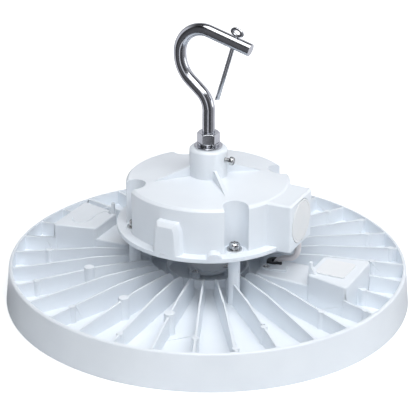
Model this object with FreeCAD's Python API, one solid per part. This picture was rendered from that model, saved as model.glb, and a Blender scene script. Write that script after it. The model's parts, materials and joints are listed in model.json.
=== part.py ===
"""High bay light: a finned die-cast heat sink with its LED chamber, a driver housing on posts, and a hook.

All sizes are millimetres and +Z is up.  The origin is where the hook's axis meets the plane of the rim
that the light stands on.  +X points at the wiring box of the driver housing.
"""
import FreeCAD, Part
import math
import os

V = FreeCAD.Vector
UP = V(0, 0, 1)
ORIGIN = V(0, 0, 0)

# ---------------------------------------------------------------- driving dimensions
# heat sink casting
RIM_RADIUS = 165.0            # outside, at the foot
RIM_HEIGHT = 30.2
RIM_DRAFT = 3.2               # how far the outside leans in over the rim's height
RIM_WALL = 6.0                # wall of the rim above the floor
RIM_EDGE = 0.9                # bevel of the rim's top edge
SKIRT_WALL = 5.0              # wall of the rim below the lens seat
FLOOR_TOP = 18.0
PLATE = 4.0                   # floor thickness over the LED chamber
SEAT_WIDTH = 14.0             # the lens seat runs this far in from the skirt
SEAT_HEIGHT = 9.0             # lens seat above the foot
FIN_STEP = 11.25              # degrees between fins
FIN_ROOT = 2.8                # fin thickness at the floor
FIN_TIP = 1.7                 # fin thickness at its top edge
FIN_HEIGHT = 36.0             # crown of the fins above the foot
FIN_INNER = 46.0              # radius of the fins' inner ends
FIN_CROWN_IN = 57.0           # the crown runs level between these two radii
FIN_CROWN_OUT = 92.0
FIN_NOSE_DROP = 4.5           # the fins' inner ends are bevelled down by this
FIN_NOSE_RUN = 3.6            # where the nose's two bevels meet
FIN_RIM_DROP = 0.6            # fins end this much below the top of the rim
NEAR = 1e-4                   # two heights nearer than this are the same
EMBED = 1.0                   # how far a cast feature is sunk into the wall that carries it

# the two pockets cast on the floor, and the ducts that lead to them
POCKET_GAP = 27.4             # between a pocket and the rim
POCKET_LENGTH = 36.8
POCKET_HALF_IN = 18.2         # half width at the inner end
POCKET_HALF_OUT = 26.9
POCKET_TOP = 44.0
POCKET_EDGE = 2.2             # bevel of the upright corners
TOP_BEVEL = 0.9
DUCT_INNER = 49.0
DUCT_HALF = 15.6
DUCT_TOP = 34.0
DUCT_STEP = 0.9               # the duct stands in from the pocket's sides by this
CAST_WALL = 2.8
HORN_TOP = 54.0               # the horn on the inner corner of each pocket
HORN_LENGTH = 7.0
HORN_THICK = 3.2
HORN_TIP = 2.6                # length of the horn's level top
HORN_INSET = 1.2              # from the pocket's corner to the horn
GROOVE_WIDTH = 0.9            # of the shallow S-shaped groove on the plain pocket
GROOVE_DEPTH = 0.5
GROOVE_POINTS = ((27.8, -8.0), (22.2, -14.4), (14.8, -11.0), (13.0, -1.5), (13.4, 9.0), (10.8, 15.0),
                 (3.8, 12.8))  # its middle line: out from the pocket's inner face, and across

# ejector posts on the fins: bearing in degrees, and how far in from the rim each stands
SLIM_POSTS = ((22.5, 25), (33.75, 5), (45, 16), (56.25, 5), (67.5, 19), (90, 12), (112.5, 21), (135, 16),
              (157.5, 28), (-22.5, 28), (-45, 29), (-56.25, 5), (-67.5, 19), (-90, 12), (-112.5, 21),
              (-135, 16), (-157.5, 28), (0, 23), (-11.25, 7))
STOUT_POSTS = ((78.75, 47), (101.25, 53), (135, 59), (-78.75, 47), (-101.25, 53), (-135, 59))
SLIM_RADIUS = 2.7
SLIM_PROUD = 0.3              # how far a slim post stands above its fin
STOUT_RADIUS = 4.2
STOUT_PROUD = 1.6
FACETS = 12                   # sides of a small round thing that repeats
POST_FACETS = 20

# posts that carry the driver housing: bearing of each in degrees
POST_ANGLES = (-44.0, 44.0, 134.0, -139.5)
POST_CIRCLE = 60.5
POST_RADIUS = 4.85
HOUSING_BASE = 60.0           # height of the housing's flange above the foot

# hub well in the middle of the heat sink
WELL_RADIUS = 33.0
WELL_WALL = 1.8
WELL_TOP = 25.5
HUB_COVER_RADIUS = 16.5
HUB_EAR_RADIUS = 4.7           # of the round ears that stand out of the cover over the bosses
HUB_EAR_STEP = 0.8             # the cover's middle is raised above its ears by this
HUB_STEP_INSET = 3.0
HUB_COVER_THICK = 2.0
HUB_BOSS_CIRCLE = 15.5
HUB_BOSS_RADIUS = 4.2
HUB_BOSS_COUNT = 3
HUB_BOSS_START = -104.0        # bearing of the first boss
HUB_BOSS_HEIGHT = 3.4         # above the floor

# driver housing casting
WALL_RADIUS = 65.8
SHOULDER = 101.0              # height of the round wall
CROWN = 104.6                 # height of the top where it meets the collar
EDGE_BEVEL = 2.0
COLLAR_BEVEL = 1.6
FLANGE_RADIUS = 73.8
FLANGE_THICK = 3.6
HOUSING_WALL = 3.0
SCALLOP_RADIUS = 9.8
SCALLOP_CIRCLE = 61.3
COLLAR_RADIUS = 15.2
COLLAR_TOP = 127.8
GUSSET_TOP = 112.5
GUSSET_REACH = 47.0
GUSSET_THICK = 3.0
GUSSET_LAND = 1.2             # length of a gusset's level top
GUSSET_TOE = 0.9              # height of its toe above the shoulder
BOX_END = 81.5                # outer face of the wiring box
BOX_HALF = 27.0               # half width that the wiring box would have at the axis
BOX_TAPER = 6.0               # narrower by this at its end
BOX_BEVEL = 1.6
BOX_TOP = 99.8
BUMP_ANGLE = -91.0
BUMP_HALF_FOOT = 12.4
BUMP_HALF_TOP = 8.4
BUMP_TOP = 89.5
BUMP_BEVEL = 3.2
BUMP_SHOULDER = 6.0           # its sides lean in above this far below its top
BUMP_LEAN = 1.5
BUMP_INSET = 0.4              # its face stands in from the flange's edge by this
KEY_ANGLE = -60.0
KEY_HALF = 6.5
KEY_HEIGHT = 7.6

# base plate and gasket under the housing
BASE_MARGIN = 0.6             # the base plate stands in from the wall by this
BASE_THICK = 2.2
GASKET_THICK = 0.8
GASKET_WIDTH = 16.5
NOTCH_GAP = 2.5               # clearance round each post

# LED board, lens and their fasteners
BOARD_GAP = 3.0               # between the board and the lens seat
BOARD_THICK = 1.6
LED_SIZE = 5.0
LED_HEIGHT = 0.9
LED_CIRCLES = (34.0, 66.0, 98.0)
LED_COUNTS = (8, 16, 24)
LENS_GAP = 2.0                # between the lens cover and the skirt
LENS_THICK = 3.0
LENS_GASKET = 1.0
LENS_SCREW_INSET = 7.0        # from the skirt to the screws' circle
LENS_SCREW_COUNT = 8
LENS_SCREW_START = 22.5
LENS_SCREW_LENGTH = 9.0
LENS_SCREW = 2.0
LENS_HEAD_RADIUS = 3.8
LENS_HEAD_HEIGHT = 2.4
SLIP = 0.3                    # clearance of a part that drops into a recess
THREAD_GAP = 0.05             # between a screw's thread and its tapped hole
CLEAR_HOLE = 0.35             # between a screw's shank and its clearance hole

# sensor pocket cap
CAP_INSET = 19.6              # from the pocket's outer face to the cap's middle
CAP_HALF_X = 12.4
CAP_HALF_Y = 13.6
CAP_THICK = 1.2
CAP_CORNER = 2.1
SPIGOT_CORNER = 1.5
CAP_SPIGOT = 2.4              # the spigot stands in from the cap's edge by this
CAP_DEPTH = 4.0

# wiring entry plug
PLUG_RADIUS = 17.6
PLUG_FLOOR_GAP = 1.0          # from the wiring box's floor to the plug's thread
PLUG_THREAD = 15.0
PLUG_FLANGE = 2.6
PLUG_PROUD = 0.6
PLUG_DEPTH = 12.0
SEAL_THICK = 0.8
SEAL_MARGIN = 0.4             # the seal stands in from the plug's edge by this

# hook, of round bar in the plane y = 0
HOOK_BAR = 5.0
HOOK_FOOT = 106.0             # lower end of the shank, inside the collar
HOOK_NECK = 158.0             # where the shank starts to bend
NECK_RADIUS = 20.0
NECK_TURN = 49.0
NECK_RUN = 12.0
BACK_RADIUS = 27.0
BACK_RUN = 2.0
TOP_RADIUS = 20.0
ARM_FALL = 16.2               # degrees below level
ARM_RUN = 36.3
PIN_STATION = 21.8            # along the arm, from where the top bend ends
WASHER_RADIUS = 11.3
WASHER_THICK = 1.8
SPRING_RADIUS = 8.8
SPRING_THICK = 2.2
SPRING_GAP = 1.6
SPRING_BEARING = -50.0
NUT_FLATS = 16.0
NUT_HEIGHT = 8.4
NUT_CHAMFER = 30.0            # degrees
LOCK_SCREW_DROP = 8.8         # below the collar's top
LOCK_SCREW_RADIUS = 2.0
LOCK_SCREW_SHOWS = 4.2
LOCK_HEAD_RADIUS = 3.4
LOCK_HEAD_LENGTH = 3.2

# split pin through the hook's arm
PIN_RADIUS = 1.75
PIN_BELOW = 50.0
PIN_SHORT_LEG = 3.0
PIN_SLIT = 0.35
PIN_EYE_LONG = 5.75           # half length of the oval eye, along the arm
PIN_EYE_SHORT = 3.75
PIN_EYE_WIRE = 2.2
PIN_SPLIT_START = 2.0         # below the arm

# flange screws
FLANGE_SCREW = 2.5
FLANGE_SCREW_LENGTH = 14.0
FLANGE_WASHER_RADIUS = 6.1
FLANGE_WASHER_THICK = 1.1
FLANGE_SPRING_RADIUS = 4.4
FLANGE_SPRING_THICK = 1.3
FLANGE_SPRING_GAP = 0.8
FLANGE_HEAD_RADIUS = 4.35
FLANGE_HEAD_HEIGHT = 3.6
FLANGE_HEAD_BEVEL = 1.1
FLANGE_SLOT_HALF = 0.7        # cross recess in the head
FLANGE_SLOT_REACH = 2.6
FLANGE_SLOT_DEPTH = 1.8
FLANGE_PAD_RADIUS = 7.6       # raised pad of the flange under each washer
FLANGE_PAD_HEIGHT = 0.8
FLANGE_PAD_SIDES = 8

# driver inside the housing
STANDOFF_RADIUS = 2.6
STANDOFF_HEIGHT = 7.0
DRIVER_HALF_X = 39.0
DRIVER_HALF_Y = 25.0
DRIVER_THICK = 1.6
DRIVER_INSET = 4.0
CORE_SIZE = (28.0, 24.0, 19.0)
CORE_X = -12.0
CORE_WALL = 4.0               # of the ferrite above and below its windows
WINDOW_WIDTH = 6.0
COIL_RADIUS = 9.5
COIL_GAP = 0.2                # between the coil and the ferrite
BOBBIN_FOOT = 3.2
CAPACITORS = ((14.0, 12.0, 8.0, 24.0), (14.0, -12.0, 8.0, 24.0), (-33.0, 0.0, 5.0, 16.0))
TERMINAL = (28.0, 38.0, 15.0, 11.0)
TERMINAL_WAYS = 4
TERMINAL_RIB = 0.2            # share of a way's pitch on each side of its entry
TERMINAL_SILL = 2.0
TERMINAL_ENTRY = 5.0

# cable from the wiring box down into the right duct, in a plane y = CABLE_Y
ENTRY_X = 56.0                # cable entry in the duct
ENTRY_RADIUS = 6.4
ENTRY_HEIGHT = 2.4
EXIT_X = 75.2                 # cable exit in the wiring box's floor
EXIT_RADIUS = 3.9
CABLE_RADIUS = 2.4
CABLE_SIDES = 12
CABLE_Y = 8.0
CABLE_POINTS = ((EXIT_X, 64.4), (EXIT_X, 48.0), (ENTRY_X, 44.6), (ENTRY_X, 29.0))
EXIT_LIP = 0.9                # how far the exit grommet's lip reaches past its hole
EXIT_LIP_THICK = 1.2
RETAINER_X = 54.0             # middle of the plate's round end, where its screw goes
RETAINER_Y = -3.4
RETAINER_HALF = 4.6
RETAINER_LENGTH = 17.0        # from the round end's middle to the square end
RETAINER_TURN = 14.0          # bearing of its length in degrees
RETAINER_THICK = 1.8


# ---------------------------------------------------------------- helpers
def polar(radius, angle, height=0.0):
    """A point by radius, bearing in degrees and height."""
    turn = math.radians(angle)
    return V(radius * math.cos(turn), radius * math.sin(turn), height)


def bearings(count, start=0.0):
    return [start + 360.0 * index / count for index in range(count)]


def cylinder(radius, low, high, at=ORIGIN):
    return Part.makeCylinder(radius, high - low, V(at.x, at.y, low))


def tube(outer, inner, low, high, at=ORIGIN):
    return cylinder(outer, low, high, at).cut(cylinder(inner, low, high, at))


def rod(radius, start, end):
    """A cylinder from one point to another."""
    run = end - start
    return Part.makeCylinder(radius, run.Length, start, run)


def block(x0, x1, y0, y1, z0, z1):
    return Part.makeBox(x1 - x0, y1 - y0, z1 - z0, V(x0, y0, z0))


def spun(points):
    """A solid of revolution about Z from (radius, height) pairs; a triple holds an arc's mid point."""
    edges = []
    start = points[0]
    for point in list(points[1:]) + [points[0]]:
        here = V(start[0], 0, start[1])
        there = V(point[-2], 0, point[-1])
        if len(point) == 4:
            edges.append(Part.Arc(here, V(point[0], 0, point[1]), there).toShape())
        else:
            edges.append(Part.LineSegment(here, there).toShape())
        start = (point[-2], point[-1])
    return Part.Face(Part.Wire(edges)).revolve(ORIGIN, UP, 360)


def faceted(radius, low, high, at=ORIGIN, sides=FACETS):
    """An upright round bar in flats, for a small thing that repeats."""
    corners = [at + polar(radius, angle) for angle in bearings(sides)]
    wire = Part.makePolygon([V(p.x, p.y, low) for p in corners + corners[:1]])
    return Part.Face(wire).extrude(V(0, 0, high - low))


def plate_ring(outer, inner, low, high, at):
    """A washer in flats."""
    return faceted(outer, low, high, at).cut(faceted(inner, low, high, at))


def bevelled_prism(corners, size, low, high):
    """A prism on a polygon whose corners are cut off by the size."""
    points = [V(x, y, low) for x, y in corners]
    count = len(points)
    outline = []
    for index, corner in enumerate(points):
        outline.append(corner + (points[index - 1] - corner).normalize() * size)
        outline.append(corner + (points[(index + 1) % count] - corner).normalize() * size)
    return Part.Face(Part.makePolygon(outline + outline[:1])).extrude(V(0, 0, high - low))


def rounded_wire(corners, radius, height):
    """A closed level wire through the corners, each rounded by the radius."""
    count = len(corners)
    points = [V(x, y, height) for x, y in corners]
    edges = []
    ends = []
    for index, corner in enumerate(points):
        before = (points[index - 1] - corner).normalize()
        after = (points[(index + 1) % count] - corner).normalize()
        half = before.getAngle(after) / 2
        back = radius / math.tan(half)
        middle = (before + after).normalize()
        centre = corner + middle * (radius / math.sin(half))
        start = corner + before * back
        end = corner + after * back
        edges.append(Part.Arc(start, centre - middle * radius, end).toShape())
        ends.append((start, end))
    for index in range(count):
        edges.append(Part.LineSegment(ends[index][1], ends[(index + 1) % count][0]).toShape())
    return Part.Wire(Part.__sortEdges__(edges))


def prism(corners, radius, low, high):
    face = Part.Face(rounded_wire(corners, radius, low))
    return face.extrude(V(0, 0, high - low))


def slab_xz(corners, y0, y1):
    """A polygon of (x, z) corners, thick from y0 to y1."""
    wire = Part.makePolygon([V(x, y0, z) for x, z in corners] + [V(corners[0][0], y0, corners[0][1])])
    return Part.Face(wire).extrude(V(0, y1 - y0, 0))


def joined(shapes):
    return shapes[0].multiFuse(shapes[1:]).removeSplitter()


def turned(shape, angle):
    copy = shape.copy()
    copy.rotate(ORIGIN, UP, angle)
    return copy


def moved(shape, offset):
    copy = shape.copy()
    copy.translate(offset)
    return copy


def bevelled_top(shape, height, size):
    """Bevel the edges that lie level at a height."""
    edges = [edge for edge in shape.Edges
             if abs(edge.BoundBox.ZMin - height) < NEAR and abs(edge.BoundBox.ZMax - height) < NEAR]
    return shape.makeChamfer(size, edges)


def hexagon(flats, low, high, at=ORIGIN, start=0.0):
    corners = [at + polar(flats / math.sqrt(3), angle) for angle in bearings(6, start)]
    wire = Part.makePolygon([V(p.x, p.y, low) for p in corners + corners[:1]])
    return Part.Face(wire).extrude(V(0, 0, high - low))


def save(node, *solids):
    shape = solids[0] if len(solids) == 1 else Part.makeCompound(list(solids))
    shape.exportStep("parts/%s.step" % node)


# ---------------------------------------------------------------- shared places
RIM_TOP_RADIUS = RIM_RADIUS - RIM_DRAFT
RIM_INNER = RIM_RADIUS - RIM_WALL
SKIRT_INNER = RIM_RADIUS - SKIRT_WALL
SEAT_INNER = SKIRT_INNER - SEAT_WIDTH
POCKET_OUTER = RIM_INNER - POCKET_GAP
POCKET_INNER = POCKET_OUTER - POCKET_LENGTH
CAP_CENTRE = POCKET_OUTER - CAP_INSET
RIM_LEAN = RIM_DRAFT * RIM_EDGE / RIM_HEIGHT
FLOOR_LOW = FLOOR_TOP - PLATE
POSTS = [polar(POST_CIRCLE, angle) for angle in POST_ANGLES]
FLANGE_TOP = HOUSING_BASE + FLANGE_THICK
FLANGE_PAD_TOP = FLANGE_TOP + FLANGE_PAD_HEIGHT
LENS_TOP = SEAT_HEIGHT - LENS_GASKET
LENS_RADIUS = SKIRT_INNER - LENS_GAP
LENS_SCREW_CIRCLE = SKIRT_INNER - LENS_SCREW_INSET
LENS_LOW = LENS_TOP - LENS_THICK
BOARD_LOW = FLOOR_LOW - BOARD_THICK
ENTRY = V(ENTRY_X, CABLE_Y, 0)
EXIT = V(EXIT_X, CABLE_Y, 0)
HUB_COVER_LOW = FLOOR_TOP + HUB_BOSS_HEIGHT
BASE_TOP = HOUSING_BASE - GASKET_THICK
DRIVER_LOW = BASE_TOP + STANDOFF_HEIGHT
DRIVER_TOP = DRIVER_LOW + DRIVER_THICK
PLUG_SEAT = BOX_END - PLUG_FLANGE + PLUG_PROUD
PLUG_HEIGHT = FLANGE_TOP + PLUG_FLOOR_GAP + PLUG_THREAD
LOCK_SCREW_HEIGHT = COLLAR_TOP - LOCK_SCREW_DROP
LENS_SCREWS = [polar(LENS_SCREW_CIRCLE, angle) for angle in bearings(LENS_SCREW_COUNT, LENS_SCREW_START)]
LED_PLACES = [(radius, angle) for count, radius in zip(LED_COUNTS, LED_CIRCLES)
              for angle in bearings(count, 180 / count)]
HUB_BOSSES = [polar(HUB_BOSS_CIRCLE, angle) for angle in bearings(HUB_BOSS_COUNT, HUB_BOSS_START)]
STANDOFF_PLACES = [V(x * (DRIVER_HALF_X - DRIVER_INSET), y * (DRIVER_HALF_Y - DRIVER_INSET), 0)
                   for x in (-1, 1) for y in (-1, 1)]


# ---------------------------------------------------------------- heat sink
def fin_blank():
    """One full fin along +X, tapered to its top edge."""
    outer = RIM_INNER + EMBED
    low = FLOOR_TOP - EMBED
    rim_level = RIM_HEIGHT - FIN_RIM_DROP
    profile = [(FIN_INNER, low), (FIN_INNER, FIN_HEIGHT - FIN_NOSE_DROP),
               (FIN_INNER + FIN_NOSE_RUN, FIN_HEIGHT - FIN_NOSE_DROP / 4), (FIN_CROWN_IN, FIN_HEIGHT),
               (FIN_CROWN_OUT, FIN_HEIGHT), (outer, rim_level), (outer, low)]
    side = slab_xz(profile, -FIN_ROOT, FIN_ROOT)
    root, tip = FIN_ROOT / 2, FIN_TIP / 2
    section = Part.makePolygon([V(0, -root, low), V(0, root, low), V(0, tip, FIN_HEIGHT + EMBED),
                                V(0, -tip, FIN_HEIGHT + EMBED), V(0, -root, low)])
    bar = Part.Face(section).extrude(V(outer + EMBED, 0, 0))
    return bar.common(side)


def fins():
    """Full fins all round, and short ones between each pocket and the rim."""
    full = fin_blank()
    short = full.cut(cylinder(POCKET_OUTER, 0, FIN_HEIGHT * 2))
    shapes = []
    for index in range(round(360 / FIN_STEP)):
        angle = index * FIN_STEP
        off_axis = abs((angle + 90) % 180 - 90)
        blank = short if off_axis < 1.5 * FIN_STEP else full
        shapes.append(turned(blank, angle))
    return shapes


def fin_top(radius):
    """Height of the fins' top edge at a radius."""
    share = max(0.0, (radius - FIN_CROWN_OUT) / (RIM_INNER - FIN_CROWN_OUT))
    return FIN_HEIGHT - share * (FIN_HEIGHT - RIM_HEIGHT + FIN_RIM_DROP)


def ejector_posts():
    low = FLOOR_TOP - EMBED
    shapes = []
    for table, radius, proud in ((SLIM_POSTS, SLIM_RADIUS, SLIM_PROUD), (STOUT_POSTS, STOUT_RADIUS, STOUT_PROUD)):
        for angle, inset in table:
            reach = RIM_INNER - inset
            shapes.append(faceted(radius, low, fin_top(reach) + proud, polar(reach, angle)))
    return shapes


def trapezoid(inner, outer, half_in, half_out, grow=0.0):
    """Corners of a trapezoid that widens along +X, grown outward all round."""
    return [(inner - grow, -half_in - grow), (outer + grow, -half_out - grow),
            (outer + grow, half_out + grow), (inner - grow, half_in + grow)]


def pocket_block():
    corners = trapezoid(POCKET_INNER, POCKET_OUTER, POCKET_HALF_IN, POCKET_HALF_OUT)
    block_shape = bevelled_prism(corners, POCKET_EDGE, FLOOR_TOP - EMBED, POCKET_TOP)
    return bevelled_top(block_shape, POCKET_TOP, TOP_BEVEL)


def duct_block():
    """The raised duct that leads wires from the hub to a pocket."""
    corners = trapezoid(DUCT_INNER, POCKET_INNER + POCKET_EDGE * 2, DUCT_HALF, POCKET_HALF_IN - DUCT_STEP)
    block_shape = bevelled_prism(corners, POCKET_EDGE, FLOOR_TOP - EMBED, DUCT_TOP)
    return bevelled_top(block_shape, DUCT_TOP, TOP_BEVEL)


def horn():
    """The horn that stands on the inner corner of a pocket, with a web that curves down to its top."""
    foot = POCKET_TOP - EMBED
    back = POCKET_INNER + TOP_BEVEL
    rise = HORN_TOP - foot
    profile = [(back, foot), (back, HORN_TOP - HORN_TIP / 4), (back + HORN_TIP / 4, HORN_TOP),
               (back + HORN_TIP * 3 / 4, HORN_TOP), (back + HORN_TIP, HORN_TOP - HORN_TIP / 4),
               (back + HORN_TIP, foot + rise * 0.6), (back + (HORN_TIP + HORN_LENGTH) / 2, foot + rise * 0.3),
               (back + HORN_LENGTH, foot)]
    near = HORN_INSET - POCKET_HALF_IN
    return slab_xz(profile, near, near + HORN_THICK)


def pocket_cavity():
    """What the core leaves hollow under a pocket and its duct, open to the LED chamber."""
    low = FLOOR_LOW - EMBED
    pocket = bevelled_prism(trapezoid(POCKET_INNER, POCKET_OUTER, POCKET_HALF_IN, POCKET_HALF_OUT, -CAST_WALL),
                            POCKET_EDGE, low, POCKET_TOP - CAST_WALL)
    duct = bevelled_prism(trapezoid(DUCT_INNER + CAST_WALL, POCKET_INNER + 2 * CAST_WALL,
                                    DUCT_HALF - CAST_WALL, POCKET_HALF_IN - DUCT_STEP - CAST_WALL),
                          POCKET_EDGE, low, DUCT_TOP - CAST_WALL)
    return pocket.fuse(duct)


def dish():
    """The rim, floor and lens seat, turned about Z."""
    return spun([
        (0, FLOOR_LOW), (SEAT_INNER, FLOOR_LOW), (SEAT_INNER, SEAT_HEIGHT), (SKIRT_INNER, SEAT_HEIGHT),
        (SKIRT_INNER, 0), (RIM_RADIUS, 0), (RIM_TOP_RADIUS + RIM_LEAN, RIM_HEIGHT - RIM_EDGE),
        (RIM_TOP_RADIUS - RIM_EDGE, RIM_HEIGHT), (RIM_INNER, RIM_HEIGHT), (RIM_INNER, FLOOR_TOP),
        (0, FLOOR_TOP)])


def hub():
    """The well's wall and the bosses for the hub cover."""
    wall = tube(WELL_RADIUS + WELL_WALL / 2, WELL_RADIUS - WELL_WALL / 2, FLOOR_TOP - EMBED, WELL_TOP)
    bosses = [faceted(HUB_BOSS_RADIUS, FLOOR_TOP - EMBED, HUB_COVER_LOW, place) for place in HUB_BOSSES]
    return [wall] + bosses


def heat_sink():
    low = FLOOR_TOP - EMBED
    posts = [faceted(POST_RADIUS, low, HOUSING_BASE, place, POST_FACETS) for place in POSTS]
    pocket = joined([pocket_block(), duct_block(), horn()])
    features = fins() + ejector_posts() + posts + hub() + [pocket, turned(pocket, 180)]
    body = dish().multiFuse(features)
    cuts = [pocket_cavity(), turned(pocket_cavity(), 180)]
    cuts += [cylinder(ENTRY_RADIUS, DUCT_TOP - CAST_WALL - EMBED, DUCT_TOP + EMBED, ENTRY)]
    cuts += [faceted(FLANGE_SCREW + THREAD_GAP, HOUSING_BASE - FLANGE_SCREW_LENGTH, HOUSING_BASE + EMBED,
                     place) for place in POSTS]
    cuts += [faceted(LENS_SCREW + THREAD_GAP, SEAT_HEIGHT - EMBED, LENS_LOW + LENS_SCREW_LENGTH + EMBED, place)
             for place in LENS_SCREWS]
    cuts += [cap_opening(), s_groove()]
    return body.cut(cuts).removeSplitter()


def cap_opening():
    x, y = CAP_HALF_X - CAP_SPIGOT + SLIP, CAP_HALF_Y - CAP_SPIGOT + SLIP
    corners = [(CAP_CENTRE - x, -y), (CAP_CENTRE + x, -y), (CAP_CENTRE + x, y), (CAP_CENTRE - x, y)]
    return bevelled_prism(corners, SPIGOT_CORNER, POCKET_TOP - CAST_WALL - EMBED, POCKET_TOP + EMBED)


def s_groove():
    """Two opposite bends and the runs that lead into and out of them, cut with a round-nosed tool."""
    level = POCKET_TOP - GROOVE_DEPTH
    spine = Part.BSplineCurve()
    spine.interpolate([V(-POCKET_INNER - out, across, level) for out, across in GROOVE_POINTS])
    path = Part.Wire([spine.toShape()])
    edge = path.Edges[0]
    normal = edge.tangentAt(edge.FirstParameter).cross(UP).normalize()
    start = edge.valueAt(edge.FirstParameter)
    half = normal * (GROOVE_WIDTH / 2)
    rise = UP * (GROOVE_DEPTH * 2)
    corners = [start - half, start + half, start + half + rise, start - half + rise, start - half]
    return path.makePipeShell([Part.makePolygon(corners)], True, False)


# ---------------------------------------------------------------- LED chamber
def led_board():
    board = cylinder(SEAT_INNER - BOARD_GAP, BOARD_LOW, FLOOR_LOW)
    return board.cut(faceted(CABLE_RADIUS + EMBED, BOARD_LOW - EMBED, FLOOR_LOW + EMBED, ENTRY))


def leds():
    """Square packages in rings, each turned to its own bearing."""
    half = LED_SIZE / 2
    return [turned(block(radius - half, radius + half, -half, half, BOARD_LOW - LED_HEIGHT, BOARD_LOW), angle)
            for radius, angle in LED_PLACES]


def lens_cover():
    """A clear disc held to its seat by screws near its edge."""
    disc = cylinder(LENS_RADIUS, LENS_LOW, LENS_TOP)
    return disc.cut([faceted(LENS_SCREW + CLEAR_HOLE, LENS_LOW - EMBED, LENS_TOP + EMBED, place)
                     for place in LENS_SCREWS])


def lens_gasket():
    """A flat ring between the seat and the lens, inside the screws."""
    return tube(LENS_SCREW_CIRCLE - LENS_SCREW - EMBED, SEAT_INNER + EMBED, LENS_TOP, SEAT_HEIGHT)


def lens_screw(place):
    """A machine screw, head down, in a tapped hole of the seat."""
    shank = faceted(LENS_SCREW, LENS_LOW, LENS_LOW + LENS_SCREW_LENGTH, place)
    return shank.fuse(faceted(LENS_HEAD_RADIUS, LENS_LOW - LENS_HEAD_HEIGHT, LENS_LOW, place)).removeSplitter()


# ---------------------------------------------------------------- small pieces on the heat sink
def pocket_cap():
    x, y = CAP_HALF_X, CAP_HALF_Y
    corners = [(CAP_CENTRE - x, -y), (CAP_CENTRE + x, -y), (CAP_CENTRE + x, y), (CAP_CENTRE - x, y)]
    plate = bevelled_prism(corners, CAP_CORNER, POCKET_TOP, POCKET_TOP + CAP_THICK)
    x, y = x - CAP_SPIGOT, y - CAP_SPIGOT
    corners = [(CAP_CENTRE - x, -y), (CAP_CENTRE + x, -y), (CAP_CENTRE + x, y), (CAP_CENTRE - x, y)]
    spigot = bevelled_prism(corners, SPIGOT_CORNER, POCKET_TOP - CAP_DEPTH, POCKET_TOP)
    return plate.fuse(spigot).removeSplitter()


def hub_cover():
    """A round plate over the wire joint, raised in the middle, with an ear on each boss."""
    low, high = HUB_COVER_LOW, HUB_COVER_LOW + HUB_COVER_THICK
    step = cylinder(HUB_COVER_RADIUS - HUB_STEP_INSET, high, high + HUB_EAR_STEP)
    ears = [cylinder(HUB_EAR_RADIUS, low, high, place) for place in HUB_BOSSES]
    return cylinder(HUB_COVER_RADIUS, low, high).multiFuse([step] + ears).removeSplitter()


def cable_entry():
    """The rubber grommet in the duct."""
    return tube(ENTRY_RADIUS - SLIP / 2, CABLE_RADIUS, DUCT_TOP - CAST_WALL, DUCT_TOP + ENTRY_HEIGHT, ENTRY)


def retainer():
    """The plate that holds the grommet down: round at its screw's end and square at the other."""
    half, low, high = RETAINER_HALF, DUCT_TOP, DUCT_TOP + RETAINER_THICK
    bar = block(0, RETAINER_LENGTH, -half, half, low, high).fuse(cylinder(half, low, high))
    plate = moved(turned(bar.removeSplitter(), RETAINER_TURN), V(RETAINER_X, RETAINER_Y, 0))
    return plate.cut(cylinder(ENTRY_RADIUS + SLIP, low - EMBED, high + EMBED, ENTRY))


def cable():
    """The lead from the wiring box to the duct: straight runs joined by arcs, in one upright plane."""
    points = [V(x, CABLE_Y, z) for x, z in CABLE_POINTS]
    runs = [(after - before).Length for before, after in zip(points, points[1:])]
    edges = []
    start = points[0]
    for index in range(1, len(points) - 1):
        back = (points[index - 1] - points[index]).normalize()
        ahead = (points[index + 1] - points[index]).normalize()
        reach = 0.45 * min(runs[index - 1], runs[index])
        half = back.getAngle(ahead) / 2
        radius = reach * math.tan(half)
        middle = points[index] + (back + ahead).normalize() * (radius / math.sin(half) - radius)
        here, there = points[index] + back * reach, points[index] + ahead * reach
        edges.append(Part.LineSegment(start, here).toShape())
        edges.append(Part.Arc(here, middle, there).toShape())
        print("cable bend radius %.1f" % radius)
        start = there
    edges.append(Part.LineSegment(start, points[-1]).toShape())
    ring = [points[0] + polar(CABLE_RADIUS, angle) for angle in bearings(CABLE_SIDES)]
    section = Part.makePolygon(ring + ring[:1])
    return Part.Wire(edges).makePipeShell([section], True, False)


# ---------------------------------------------------------------- driver housing
def housing_round():
    """Round wall, crowned top and collar, turned about Z."""
    edge = EDGE_BEVEL
    return spun([
        (0, HOUSING_BASE), (WALL_RADIUS, HOUSING_BASE), (WALL_RADIUS, SHOULDER - edge),
        (WALL_RADIUS - edge, SHOULDER), (COLLAR_RADIUS, CROWN), (COLLAR_RADIUS, COLLAR_TOP - COLLAR_BEVEL),
        (COLLAR_RADIUS - COLLAR_BEVEL, COLLAR_TOP), (0, COLLAR_TOP)])


def wiring_box():
    """The box that stands out of the round wall toward +X, narrowing to its end."""
    corners = [(0, -BOX_HALF), (BOX_END, BOX_TAPER - BOX_HALF), (BOX_END, BOX_HALF - BOX_TAPER), (0, BOX_HALF)]
    return bevelled_top(prism(corners, EDGE_BEVEL, HOUSING_BASE, BOX_TOP), BOX_TOP, BOX_BEVEL)


def scallop(grow=0.0, reach=FLANGE_RADIUS):
    """A U-shaped channel that lets a driver down to a flange screw, along +X."""
    radius = SCALLOP_RADIUS + grow
    high = COLLAR_TOP
    round_end = cylinder(radius, HOUSING_BASE, high, V(SCALLOP_CIRCLE, 0, 0))
    mouth = block(SCALLOP_CIRCLE, reach + EMBED, -radius, radius, HOUSING_BASE, high)
    return round_end.fuse(mouth).removeSplitter()


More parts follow.
